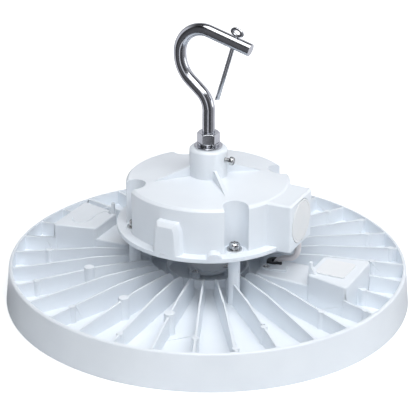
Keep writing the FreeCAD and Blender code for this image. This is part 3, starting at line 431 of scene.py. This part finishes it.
def on_circle(radius, bearings, height):
    """Places on a circle about Z, at bearings in degrees."""
    return [(radius * math.cos(math.radians(bearing)), radius * math.sin(math.radians(bearing)), height)
            for bearing in bearings]


def middle(box, height):
    """The middle of a box seen from above, at a height."""
    low, high = box
    return (low.x + high.x) / 2, (low.y + high.y) / 2, height


def islands(node):
    """The lowest and highest corner of each separate solid in a CAD node."""
    mesh = NODES[node].data
    keys = [tuple(round(value / (2 * SAME_POINT)) for value in vertex.co) for vertex in mesh.vertices]
    root = {key: key for key in keys}

    def find(key):
        while root[key] != key:
            root[key] = root[root[key]]
            key = root[key]
        return key

    for polygon in mesh.polygons:
        first = find(keys[polygon.vertices[0]])
        for index in polygon.vertices[1:]:
            root[find(keys[index])] = first
    boxes = {}
    for vertex, key in zip(mesh.vertices, keys):
        low, high = boxes.setdefault(find(key), (Vector(vertex.co), Vector(vertex.co)))
        for axis in range(3):
            low[axis] = min(low[axis], vertex.co[axis])
            high[axis] = max(high[axis], vertex.co[axis])
    return list(boxes.values())


# ---------------------------------------------------------------- stage
class StageSizes(bpy.types.PropertyGroup):
    """The camera, lamps and floor."""

    azimuth: bpy.props.FloatProperty(
        name="Azimuth", description="Bearing of the camera from straight in front",
        default=math.radians(26.0), unit="ROTATION")
    elevation: bpy.props.FloatProperty(
        name="Elevation", description="Angle of the camera above the level",
        default=math.radians(23.73), unit="ROTATION")
    roll: bpy.props.FloatProperty(
        name="Roll", description="Turn of the camera about its view",
        default=math.radians(0.41), unit="ROTATION")
    distance: bpy.props.FloatProperty(
        name="Distance", description="From the camera to its aim", default=1.2138, unit="LENGTH")
    aim_height: bpy.props.FloatProperty(
        name="Aim height", description="Height that the camera looks at", default=0.0743, unit="LENGTH")
    lens: bpy.props.FloatProperty(
        name="Lens", description="Focal length of the camera", default=130.0, unit="CAMERA")
    key_power: bpy.props.FloatProperty(
        name="Key", description="Power of the key lamp", default=5.2, unit="POWER")
    front_power: bpy.props.FloatProperty(
        name="Front", description="Power of the lamp over the camera", default=5.5, unit="POWER")
    side_power: bpy.props.FloatProperty(
        name="Side", description="Power of the lamp on the right", default=2.1, unit="POWER")
    top_power: bpy.props.FloatProperty(
        name="Top", description="Power of the overhead lamp", default=8.6, unit="POWER")
    sky: bpy.props.FloatProperty(
        name="Sky", description="Strength of the even light all round", default=0.2, min=0, max=1,
        subtype="FACTOR")


# Each lamp's distance to the camera's right, towards the camera and up, then its width and its power
LAMPS = {
    "key_lamp": (0.6, 0.6, 0.95, 0.7, "key_power"),
    "front_lamp": (0, 1.1, 0.6, 0.8, "front_power"),
    "side_lamp": (1.2, 0, 0.3, 0.7, "side_power"),
    "top_lamp": (0, 0.25, 1.35, 1.1, "top_power"),
}

# Brightness of the room by bearing from the camera, in degrees to its right: white walls behind the
# light, dark cards either side of the camera, and a strip lamp between them
CARDS = ((-180, 0.7), (-150, 0.35), (-120, 0.8), (-100, 0.9), (-88, 0.03), (-40, 0.16), (-24, 0.05),
         (-15, 0.95), (-6, 0.95), (0, 0.06), (40, 0.12), (58, 0.4), (80, 0.3), (112, 0.9), (150, 0.8),
         (180, 0.7))
CARD_BLUE = 1.06  # how much more blue than red the cards are

# Heights on a sphere of radius 1 between which the ceiling goes dark, and how dark
CEILING_LOW, CEILING_HIGH, CEILING_LEVEL = 0.45, 0.75, 0.1

# The floor's glow starts low near the light, so that its shadow stays, and is full from 1 m away
GLOW_FROM, GLOW_TO, GLOW_LEAST = 0.2, 1.0, 0.42
FLOOR_WIDTH = 6.0
FLOOR_GAP = 0.1 * MM

# The colour sockets of a Mix node
MIX_A, MIX_B, MIX_RESULT = 6, 7, 2


def seen_rays(tree):
    """1 where the camera, a reflection or a refraction looks, and 0 where light is gathered."""
    path = add(tree, "ShaderNodeLightPath")
    seen = path.outputs["Is Camera Ray"]
    for other in ("Is Glossy Ray", "Is Transmission Ray"):
        seen = add(tree, "ShaderNodeMath", links={0: seen, 1: path.outputs[other]},
                   operation="MAXIMUM").outputs["Value"]
    return seen


def cards(tree, place, azimuth):
    """The room's brightness in a direction, or at a place on the floor, by its bearing from the camera."""
    turned = add(tree, "ShaderNodeMapping", {"Rotation": (0, 0, -azimuth)},
                 {"Vector": place}).outputs["Vector"]
    split = add(tree, "ShaderNodeSeparateXYZ", links={"Vector": turned})
    front = add(tree, "ShaderNodeMath", {1: -1.0}, {0: split.outputs["Y"]},
                operation="MULTIPLY").outputs["Value"]
    bearing = add(tree, "ShaderNodeMath", links={0: split.outputs["X"], 1: front},
                  operation="ARCTAN2").outputs["Value"]
    share = add(tree, "ShaderNodeMapRange", {"From Min": -math.pi, "From Max": math.pi},
                {"Value": bearing}).outputs["Result"]
    colours = add(tree, "ShaderNodeValToRGB", links={"Fac": share})
    elements = colours.color_ramp.elements
    elements.remove(elements[1])
    for degrees, level in CARDS:
        element = elements[0] if degrees == -180 else elements.new(0.5 + degrees / 360)
        element.color = (level, level, level * CARD_BLUE, 1)
    return colours.outputs["Color"], split.outputs["Z"]


def studio(tree, azimuth):
    """White all round; what polished metal mirrors also has the room's dark cards and ceiling in it."""
    direction = add(tree, "ShaderNodeTexCoord").outputs["Generated"]
    walls, height = cards(tree, direction, azimuth)
    ceiling = add(tree, "ShaderNodeMapRange",
                  {"From Min": CEILING_LOW, "From Max": CEILING_HIGH, "To Min": 1.0, "To Max": CEILING_LEVEL},
                  {"Value": height}).outputs["Result"]
    room = add(tree, "ShaderNodeMix", {"Factor": 1.0}, {MIX_A: walls, MIX_B: ceiling}, data_type="RGBA",
               blend_type="MULTIPLY")
    glossy = add(tree, "ShaderNodeLightPath").outputs["Is Glossy Ray"]
    mirrored = add(tree, "ShaderNodeMix", {MIX_A: (1, 1, 1, 1)},
                   {"Factor": glossy, MIX_B: room.outputs[MIX_RESULT]}, data_type="RGBA")
    return mirrored.outputs[MIX_RESULT]


def even_sky(size):
    """A world that lights evenly from all round and looks like the studio."""
    world = bpy.data.worlds.new("even_sky")
    world.use_nodes = True
    tree = world.node_tree
    tree.nodes.clear()
    light = add(tree, "ShaderNodeBackground", {"Color": (*linear("#F2F6FC"), 1), "Strength": size.sky})
    look = add(tree, "ShaderNodeBackground", {"Strength": 1.0}, {"Color": studio(tree, size.azimuth)})
    mix = add(tree, "ShaderNodeMixShader", links={"Fac": seen_rays(tree), 1: light.outputs["Background"],
                                                  2: look.outputs["Background"]})
    add(tree, "ShaderNodeOutputWorld", links={"Surface": mix.outputs["Shader"]})
    return world


def pale_floor(azimuth):
    """A matt floor that keeps the shadow, looks white far away and mirrors as the room does."""
    deselect()
    bpy.ops.mesh.primitive_plane_add(size=FLOOR_WIDTH, location=(0, 0, CAD_BOX[0].z - FLOOR_GAP))
    floor = made("floor")
    material, tree, output, place = new_material("pale_floor")
    matt = add(tree, "ShaderNodeBsdfDiffuse", {"Color": (*linear("#F4F6F8"), 1)})
    far = add(tree, "ShaderNodeVectorMath", links={0: place}, operation="LENGTH").outputs["Value"]
    lift = add(tree, "ShaderNodeMapRange",
               {"From Min": GLOW_FROM, "From Max": GLOW_TO, "To Min": GLOW_LEAST, "To Max": 1.0},
               {"Value": far}).outputs["Result"]
    glow = add(tree, "ShaderNodeEmission", links={"Strength": lift})
    both = add(tree, "ShaderNodeAddShader", links={0: matt.outputs["BSDF"], 1: glow.outputs["Emission"]})
    looked_at = add(tree, "ShaderNodeMixShader", links={"Fac": seen_rays(tree), 1: matt.outputs["BSDF"],
                                                        2: both.outputs["Shader"]})
    room = add(tree, "ShaderNodeEmission", links={"Color": cards(tree, place, azimuth)[0]})
    glossy = add(tree, "ShaderNodeLightPath").outputs["Is Glossy Ray"]
    mirrored = add(tree, "ShaderNodeMixShader", links={"Fac": glossy, 1: looked_at.outputs["Shader"],
                                                       2: room.outputs["Emission"]})
    tree.links.new(mirrored.outputs["Shader"], output.inputs["Surface"])
    floor.data.materials.append(material)


def area_lamp(name, place, aim, width, power):
    """A round soft lamp that faces its aim."""
    bpy.ops.object.light_add(type="AREA", location=place)
    lamp = made(name)
    lamp.data.shape = "DISK"
    lamp.data.size = width
    lamp.data.energy = power
    lamp.rotation_euler = (place - aim).to_track_quat("Z", "Y").to_euler()


class OBJECT_OT_stage(bpy.types.Operator):
    """Pale floor, soft lamps, even sky and the camera"""
    bl_idname = "object.high_bay_stage"
    bl_label = "Stage"

    def execute(self, context):
        size = context.scene.high_bay_stage
        context.scene.world = even_sky(size)
        pale_floor(size.azimuth)
        level = math.cos(size.elevation)
        back = Vector((math.sin(size.azimuth) * level, -math.cos(size.azimuth) * level,
                       math.sin(size.elevation)))
        right = Vector((math.cos(size.azimuth), math.sin(size.azimuth), 0))
        aim = Vector((0, 0, size.aim_height))
        for name, (across, near, up, width, power) in LAMPS.items():
            area_lamp(name, right * across + back * near + Vector((0, 0, up)), aim, width,
                      getattr(size, power))
        bpy.ops.object.camera_add(location=aim + back * size.distance)
        camera = made("camera")
        turn = (-back).to_track_quat("-Z", "Y").to_matrix() @ Matrix.Rotation(size.roll, 3, "Z")
        camera.rotation_euler = turn.to_euler()
        camera.data.lens = size.lens
        camera.data.clip_start = 0.05
        context.scene.camera = camera
        context.scene.view_settings.view_transform = "Standard"
        return {"FINISHED"}


# ---------------------------------------------------------------- pieces
class OBJECT_OT_finishes(bpy.types.Operator):
    """Gives every carried-over piece its own finish"""
    bl_idname = "object.high_bay_finishes"
    bl_label = "Finishes"

    def execute(self, context):
        FINISHES.update(build_finishes(context.scene.high_bay_colours))
        for node, finish in NODE_FINISH.items():
            NODES[node].data.materials.clear()
            NODES[node].data.materials.append(FINISHES[finish])
            smooth(NODES[node], 30)
        return {"FINISHED"}


class EdgeSizes(bpy.types.PropertyGroup):
    """Rounding of the edges that the plain model leaves sharp."""

    casting: bpy.props.FloatProperty(
        name="Castings", description="Radius of the coated castings' edges", default=0.5 * MM,
        unit="LENGTH")
    moulding: bpy.props.FloatProperty(
        name="Mouldings", description="Radius of the plastic cap's edges", default=0.4 * MM,
        unit="LENGTH")
    metal: bpy.props.FloatProperty(
        name="Metal", description="Radius of the hook's and nut's edges", default=0.3 * MM,
        unit="LENGTH")
    rubber: bpy.props.FloatProperty(
        name="Rubber", description="Radius of the grommets' lips", default=0.5 * MM, unit="LENGTH")
    nut_turn: bpy.props.FloatProperty(
        name="Nut turn", description="Turn at which the hook's nut came tight",
        default=math.radians(26), unit="ROTATION")


class OBJECT_OT_castings(bpy.types.Operator):
    """The heat sink and the driver housing with the rounded edges of a coated casting"""
    bl_idname = "object.high_bay_castings"
    bl_label = "Castings"

    def execute(self, context):
        width = context.scene.high_bay_edges.casting
        for node in ("heat_sink", "driver_housing"):
            dress(soften(twin(node, node + "_casting"), width, 2), NODE_FINISH[node], node)
        return {"FINISHED"}


class OBJECT_OT_trim(bpy.types.Operator):
    """The pocket cap, grommets, nut, washers and hook with their edges rounded"""
    bl_idname = "object.high_bay_trim"
    bl_label = "Trim"

    def execute(self, context):
        size = context.scene.high_bay_edges
        widths = {"pocket_cap": size.moulding, "cable_entry_grommet": size.rubber,
                  "cable_exit_grommet": size.rubber, "hook": size.metal, "hook_nut": size.metal,
                  "hook_washer": size.metal, "hook_spring_washer": size.metal}
        for node, width in widths.items():
            copy = twin(node, node + "_finished")
            if node == "hook_nut":
                copy.rotation_mode = "XYZ"
                copy.rotation_euler = (0, 0, size.nut_turn)
                settle(copy)
            dress(soften(copy, width), NODE_FINISH[node], node)
        return {"FINISHED"}


class PlugSizes(bpy.types.PropertyGroup):
    """The blanking plug of the wiring entry."""

    lip: bpy.props.FloatProperty(
        name="Lip", description="Width of the plug's plain outer lip", default=1.5 * MM, unit="LENGTH")
    groove: bpy.props.FloatProperty(
        name="Groove", description="Width and depth of the ring groove", default=0.35 * MM,
        unit="LENGTH")
    boss: bpy.props.FloatProperty(
        name="Boss", description="Radius of the raised disc in the middle", default=6.5 * MM,
        unit="LENGTH")
    rise: bpy.props.FloatProperty(
        name="Rise", description="How far the disc stands up", default=0.25 * MM, unit="LENGTH")
    notch: bpy.props.FloatProperty(
        name="Notch", description="Width of the notch that a screwdriver lifts", default=4.5 * MM,
        unit="LENGTH")


class OBJECT_OT_plug(bpy.types.Operator):
    """The screwed plug with its lip, ring groove, raised middle and lifting notch"""
    bl_idname = "object.high_bay_plug"
    bl_label = "Wiring plug"

    def execute(self, context):
        size = context.scene.high_bay_plug
        low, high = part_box("entry_plug")
        seal_low, seal_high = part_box("plug_seal")
        radius = (high.z - low.z) / 2
        thick = high.x - seal_high.x
        slope = 0.4 * size.groove
        seal_wall = 2.4 * MM
        notch_depth, notch_height = 1.6 * MM, 1.2 * MM
        disc = bar("entry_plug_face", radius, -thick, 0, 128)
        face_picker(disc, is_top)
        bpy.ops.mesh.inset(thickness=size.lip, depth=0)
        bpy.ops.mesh.inset(thickness=slope, depth=-size.groove)
        bpy.ops.mesh.inset(thickness=size.groove, depth=0)
        bpy.ops.mesh.inset(thickness=slope, depth=size.groove)
        bpy.ops.mesh.inset(thickness=radius - size.lip - size.groove - 2 * slope - size.boss, depth=0)
        bpy.ops.mesh.inset(thickness=0.3 * MM, depth=size.rise)
        object_mode()
        weld(disc, bar("thread", (seal_high.z - seal_low.z) / 2 - seal_wall, low.x - high.x, -thick / 2, 96))
        carve(disc, brick("notch", (notch_depth, size.notch, notch_height), (radius - 0.3 * MM, 0, 0)))
        soften(disc, 0.25 * MM, 2, 50)
        disc.rotation_euler = (0, math.radians(90), 0)
        disc.location = (high.x - size.rise, (low.y + high.y) / 2, (low.z + high.z) / 2)
        dress(settle(disc), "plug nylon", "entry_plug")
        return {"FINISHED"}


class ScrewSizes(bpy.types.PropertyGroup):
    """The machine screws' heads."""

    flange_head: bpy.props.FloatProperty(
        name="Flange screw head", description="Radius of an M5 pan head", default=4.35 * MM,
        unit="LENGTH")
    lens_head: bpy.props.FloatProperty(
        name="Cover screw head", description="Radius of an M4 pan head", default=3.8 * MM,
        unit="LENGTH")
    small_head: bpy.props.FloatProperty(
        name="Small screw head", description="Radius of an M3 pan head", default=2.7 * MM,
        unit="LENGTH")
    recess: bpy.props.FloatProperty(
        name="Recess", description="Reach of the cross recess as a share of the head's radius",
        default=0.64, min=0.3, max=0.8, subtype="FACTOR")


# Each screw's head height, shank radius and the length of shank below its head
M5 = (3.6 * MM, 2.45 * MM, 13.9 * MM)
M4 = (2.4 * MM, 1.95 * MM, 8.9 * MM)
M3 = (1.7 * MM, 1.4 * MM, 1.0 * MM)
M5_HOLE = 2.8 * MM
SPRING_RADIUS = 4.4 * MM
SPRING_SPLIT = 0.8 * MM

# Radius of the circle and bearings in degrees of the small screws that only this file has
BOARD_SCREWS = ((50 * MM, (30, 150, 270)), (132 * MM, (45, 135, 225, 315)))
BASE_SCREWS = (59.5 * MM, (-90, 90, 180))
HUB_SCREWS = (15.5 * MM, (-104, 16, 136))
PLATE_SCREW = (54.0 * MM, -3.4 * MM)

# How deep the small heads sit in the hub cover and the grommet's plate, and the gap round them
HUB_SINK = 2.2 * MM
PLATE_SINK = 1.5 * MM
HEAD_GAP = 0.7 * MM


def pan_head(name, radius, screw_size, reach):
    """A pan head screw, its seat at the origin and its head up, with a cross recess."""
    height, shank, length = screw_size
    screw = bar(name, radius, 0, height, 40)
    face_picker(screw, is_top)
    bpy.ops.mesh.bevel(offset=height * 0.55, segments=5, affect="EDGES", clamp_overlap=False)
    object_mode()
    weld(screw, bar("shank", shank, -length, height / 2, 24))
    long, wide = 2 * reach * radius, 0.3 * radius
    centre = (0, 0, height * 0.92)
    cross = brick("cross", (long, wide, height), centre)
    weld(cross, brick("cross_arm", (wide, long, height), centre))
    return smooth(carve(screw, cross), 40)


def washer(name, radius, thick):
    """A ring for an M5 screw, its underside at the origin."""
    return carve(bar(name, radius, 0, thick), bar("hole", M5_HOLE, -MM, 3 * MM))


class OBJECT_OT_screws(bpy.types.Operator):
    """Pan head screws on the flange, round the cover, on the board, the hub, the plate and the grommet"""
    bl_idname = "object.high_bay_screws"
    bl_label = "Screws"

    def execute(self, context):
        size = context.scene.high_bay_screws
        springs, washers = islands("flange_spring_washers"), islands("flange_washers")
        screw = pan_head("flange_screw_master", size.flange_head, M5, size.recess)
        set_out(screw, "flange_screw", [middle(box, box[1].z) for box in springs], "zinc plate",
                ["flange_screws"], (0, 0, 25))
        low, high = washers[-1]
        flat = washer("washer_master", (high.x - low.x) / 2, high.z - low.z)
        set_out(soften(flat, 0.15 * MM, 2), "flange_washer", [middle(box, box[0].z) for box in washers],
                "zinc plate", ["flange_washers"])
        low, high = springs[-1]
        spring = washer("spring_master", SPRING_RADIUS, high.z - low.z)
        carve(spring, brick("split", (4 * MM, SPRING_SPLIT, 4 * MM), (4 * MM, 0, 0)))
        set_out(soften(spring, 0.15 * MM, 2), "flange_spring", [middle(box, box[0].z) for box in springs],
                "zinc plate", ["flange_spring_washers"], (0, 0, -100))

        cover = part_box("lens_cover")[0].z
        screw = pan_head("lens_screw_master", size.lens_head, M4, size.recess)
        set_out(screw, "lens_screw", [middle(box, cover) for box in islands("lens_screws")],
                "zinc plate", ["lens_screws"], (180, 0, 15))

        small = pan_head("small_screw_master", size.small_head, M3, size.recess)
        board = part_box("led_board")[0].z
        spots = [spot for circle in BOARD_SCREWS for spot in on_circle(*circle, board)]
        set_out(small, "board_screw", spots, "zinc plate", turn=(180, 0, 0), keep=True)
        spots = on_circle(*BASE_SCREWS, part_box("base_plate")[0].z)
        set_out(small, "base_screw", spots, "zinc plate", turn=(180, 0, 0), keep=True)
        spots = [(*PLATE_SCREW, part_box("grommet_retainer")[1].z - PLATE_SINK)]
        set_out(small, "retainer_screw", spots, "zinc plate", turn=(0, 0, 20), keep=True)
        spots = on_circle(*HUB_SCREWS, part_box("hub_cover")[1].z - HUB_SINK)
        set_out(small, "hub_screw", spots, "zinc plate", turn=(0, 0, 35))
        return {"FINISHED"}


class OBJECT_OT_covers(bpy.types.Operator):
    """The hub cover and the grommet's plate, counterbored for their screws"""
    bl_idname = "object.high_bay_covers"
    bl_label = "Hub cover and grommet plate"

    def execute(self, context):
        bore = context.scene.high_bay_screws.small_head + HEAD_GAP
        for node, name, spots, sink, width in (
                ("hub_cover", "hub_cover_finished", on_circle(*HUB_SCREWS, 0), HUB_SINK, 0.25 * MM),
                ("grommet_retainer", "grommet_plate_finished", [(*PLATE_SCREW, 0)], PLATE_SINK, 0.3 * MM)):
            cover = twin(node, name)
            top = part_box(node)[1].z
            for spot in spots:
                cutter = bar("counterbore", bore, top - sink, top + MM, 32)
                cutter.location = spot
                carve(cover, settle(cutter))
            dress(soften(cover, width, 2), NODE_FINISH[node], node)
        return {"FINISHED"}


class OBJECT_OT_lock_screw(bpy.types.Operator):
    """The slotted screw through the collar's side, its thread showing behind the head"""
    bl_idname = "object.high_bay_lock_screw"
    bl_label = "Lock screw"

    def execute(self, context):
        low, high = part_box("lock_screw")
        radius, head, pitch = (high.z - low.z) / 2, 3.2 * MM, 0.9 * MM
        root, crest = 1.65 * MM, 2.15 * MM
        slot_width, slot_depth = 0.9 * MM, 1.2 * MM
        reach = 0.2 * MM
        screw = bar("lock_screw_finished", radius, 0, head, 40)
        face_picker(screw, is_top)
        bpy.ops.mesh.bevel(offset=head * 0.45, segments=4, affect="EDGES", clamp_overlap=False)
        object_mode()
        carve(screw, brick("slot", (slot_width, 4 * radius, 2 * slot_depth), (0, 0, head)))
        smooth(screw, 40)
        thread = bar("thread", root, -reach, 0.4 * MM, 24)
        face_picker(thread, is_bottom)
        while reach < high.x - low.x - head - pitch:
            for factor in (crest / root, root / crest):
                bpy.ops.mesh.extrude_region_move(TRANSFORM_OT_translate={"value": (0, 0, -pitch / 2)})
                bpy.ops.transform.resize(value=(factor, factor, 1))
            reach += pitch
        object_mode()
        smooth(thread, 25)
        weld(screw, thread)
        # The slot is turned about the screw's own length before the screw is laid level
        screw.rotation_euler = (0, 0, math.radians(55))
        settle(screw)
        screw.rotation_euler = (0, math.radians(90), 0)
        screw.location = (high.x - head, 0, (low.z + high.z) / 2)
        dress(settle(screw), "zinc plate", "lock_screw")
        return {"FINISHED"}


class PinSizes(bpy.types.PropertyGroup):
    """The split pin that closes the hook."""

    wire: bpy.props.FloatProperty(
        name="Wire", description="Radius of the eye's wire", default=1.1 * MM, unit="LENGTH")
    eye_long: bpy.props.FloatProperty(
        name="Eye, long way", description="Half the length of the oval eye", default=5.75 * MM,
        unit="LENGTH")
    eye_short: bpy.props.FloatProperty(
        name="Eye, short way", description="Half the height of the oval eye", default=3.75 * MM,
        unit="LENGTH")
    shank: bpy.props.FloatProperty(
        name="Shank", description="Radius of the two legs together", default=1.75 * MM, unit="LENGTH")
    seam: bpy.props.FloatProperty(
        name="Seam", description="Gap between the two legs", default=0.24 * MM, unit="LENGTH")
    short: bpy.props.FloatProperty(
        name="Short leg", description="How much shorter one leg is", default=0.8 * MM, unit="LENGTH")
    lean: bpy.props.FloatProperty(
        name="Lean", description="Lean of the pin from upright", default=math.radians(16.2),
        unit="ROTATION")


class OBJECT_OT_safety_pin(bpy.types.Operator):
    """A split pin: an oval eye of round wire over two half-round legs"""
    bl_idname = "object.high_bay_safety_pin"
    bl_label = "Safety pin"

    def execute(self, context):
        size = context.scene.high_bay_pin
        low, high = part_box("safety_pin")
        along = Vector((math.cos(size.lean), 0, -math.sin(size.lean)))
        down = Vector((-math.sin(size.lean), 0, -math.cos(size.lean)))
        reach_z = math.hypot(size.eye_long * along.z, size.eye_short * down.z)
        reach_x = math.hypot(size.eye_long * along.x, size.eye_short * down.x)
        centre = Vector((high.x - reach_x, 0, high.z - reach_z))
        turn = Matrix((along, Vector((0, 1, 0)), -down)).transposed().to_4x4()
        deselect()
        bpy.ops.mesh.primitive_torus_add(major_radius=size.eye_short - size.wire, minor_radius=size.wire,
                                         major_segments=48, minor_segments=16,
                                         rotation=(math.radians(90), 0, 0))
        eye = settle(made("safety_pin_eye"))
        open_mesh(eye)
        bpy.ops.transform.resize(value=(size.eye_long / size.eye_short, 1, 1))
        object_mode()
        length = (centre.z - low.z) / math.cos(size.lean)
        leg_top = 0.6 * MM - size.eye_short
        half = (4 * MM, 8 * MM, 200 * MM)
        for side, short in ((-1, 0.0), (1, size.short)):
            leg = bar("safety_pin_leg", size.shank, short - length, leg_top, 32)
            carve(leg, brick("half", half, (side * (size.seam - half[0]) / 2, 0, 0)))
            soften(leg, 0.15 * MM, 2, 60)
            weld(eye, leg)
        eye.matrix_world = Matrix.Translation(centre) @ turn
        smooth(settle(eye), 50)
        dress(eye, "nickel plate", "safety_pin")
        return {"FINISHED"}


class LeadSizes(bpy.types.PropertyGroup):
    """The lead from the driver down to the board."""

    diameter: bpy.props.FloatProperty(
        name="Diameter", description="Outside diameter of the lead's jacket", default=4.8 * MM,
        unit="LENGTH")
    length: bpy.props.FloatProperty(
        name="Length", description="Length of the lead from the driver to the board",
        default=46.2 * MM, unit="LENGTH")


# The lead leaves the wiring box, swings out past its corner and goes down through its grommet
LEAD_ROUTE = [[value * MM for value in place] for place in (
    (75.2, 8.0, 64.4), (79.8, 7.8, 42.6), (56.2, 9.6, 38.4), (56.2, 8.3, 29.0))]


class OBJECT_OT_lead(bpy.types.Operator):
    """The lead from the wiring box down through its grommet"""
    bl_idname = "object.high_bay_lead"
    bl_label = "Lead"

    def execute(self, context):
        size = context.scene.high_bay_lead
        deselect()
        bpy.ops.curve.primitive_nurbs_path_add()
        lead = made("output_lead")
        curve = lead.data
        curve.splines.remove(curve.splines[0])
        spline = curve.splines.new("NURBS")
        spline.points.add(len(LEAD_ROUTE) - 1)
        for point, place in zip(spline.points, LEAD_ROUTE):
            point.co = (*place, 1)
        spline.order_u = 3
        spline.use_endpoint_u = True
        spline.resolution_u = 16
        curve.dimensions = "3D"
        curve.bevel_depth = size.diameter / 2
        curve.bevel_resolution = 6
        curve.use_fill_caps = True
        dress(lead, "cable jacket", "output_cable")
        return {"FINISHED"}


class OBJECT_OT_packages(bpy.types.Operator):
    """Light packages: a white frame round a sunk yellow window"""
    bl_idname = "object.high_bay_packages"
    bl_label = "Light packages"

    def execute(self, context):
        rim, slope, sink = 0.55 * MM, 0.12 * MM, 0.18 * MM
        packages = twin("leds", "led_packages")
        face_picker(packages, is_bottom)
        bpy.ops.mesh.inset(thickness=rim, depth=0, use_individual=True)
        bpy.ops.mesh.inset(thickness=slope, depth=-sink, use_individual=True)
        object_mode()
        windows = [polygon.index for polygon in packages.data.polygons if polygon.select]
        dress(packages, "package", "leds")
        packages.data.materials.append(FINISHES["phosphor"])
        for index in windows:
            packages.data.polygons[index].material_index = 1
        smooth(packages, 30)
        return {"FINISHED"}


# ---------------------------------------------------------------- panel and registration
class VIEW3D_PT_high_bay(bpy.types.Panel):
    """The operators of the high bay light in the order in which they run"""
    bl_idname = "VIEW3D_PT_high_bay"
    bl_label = "High bay light"
    bl_space_type = "VIEW_3D"
    bl_region_type = "UI"
    bl_category = "High bay"

    def draw(self, context):
        for operator in OPERATORS:
            self.layout.operator(operator.bl_idname)
        for name in GROUPS:
            group = getattr(context.scene, name)
            for field in group.bl_rna.properties:
                if field.identifier not in ("rna_type", "name"):
                    self.layout.prop(group, field.identifier)


GROUPS = {"high_bay_colours": FinishColours, "high_bay_edges": EdgeSizes, "high_bay_plug": PlugSizes,
          "high_bay_screws": ScrewSizes, "high_bay_pin": PinSizes, "high_bay_lead": LeadSizes,
          "high_bay_stage": StageSizes}
OPERATORS = (OBJECT_OT_finishes, OBJECT_OT_castings, OBJECT_OT_trim, OBJECT_OT_covers, OBJECT_OT_plug,
             OBJECT_OT_screws, OBJECT_OT_lock_screw, OBJECT_OT_safety_pin, OBJECT_OT_lead,
             OBJECT_OT_packages, OBJECT_OT_stage)
CLASSES = (*GROUPS.values(), *OPERATORS, VIEW3D_PT_high_bay)


def register():
    for kind in CLASSES:
        bpy.utils.register_class(kind)
    for name, group in GROUPS.items():
        setattr(bpy.types.Scene, name, bpy.props.PointerProperty(type=group))


def unregister():
    for name in GROUPS:
        delattr(bpy.types.Scene, name)
    for kind in reversed(CLASSES):
        bpy.utils.unregister_class(kind)


def run(operator):
    """Calls a registered operator through bpy.ops."""
    group, name = operator.bl_idname.split(".")
    return getattr(getattr(bpy.ops, group), name)()


def main():
    """Builds the light and its stage."""
    register()
    for operator in OPERATORS:
        run(operator)


if __name__ == "__main__":
    main()
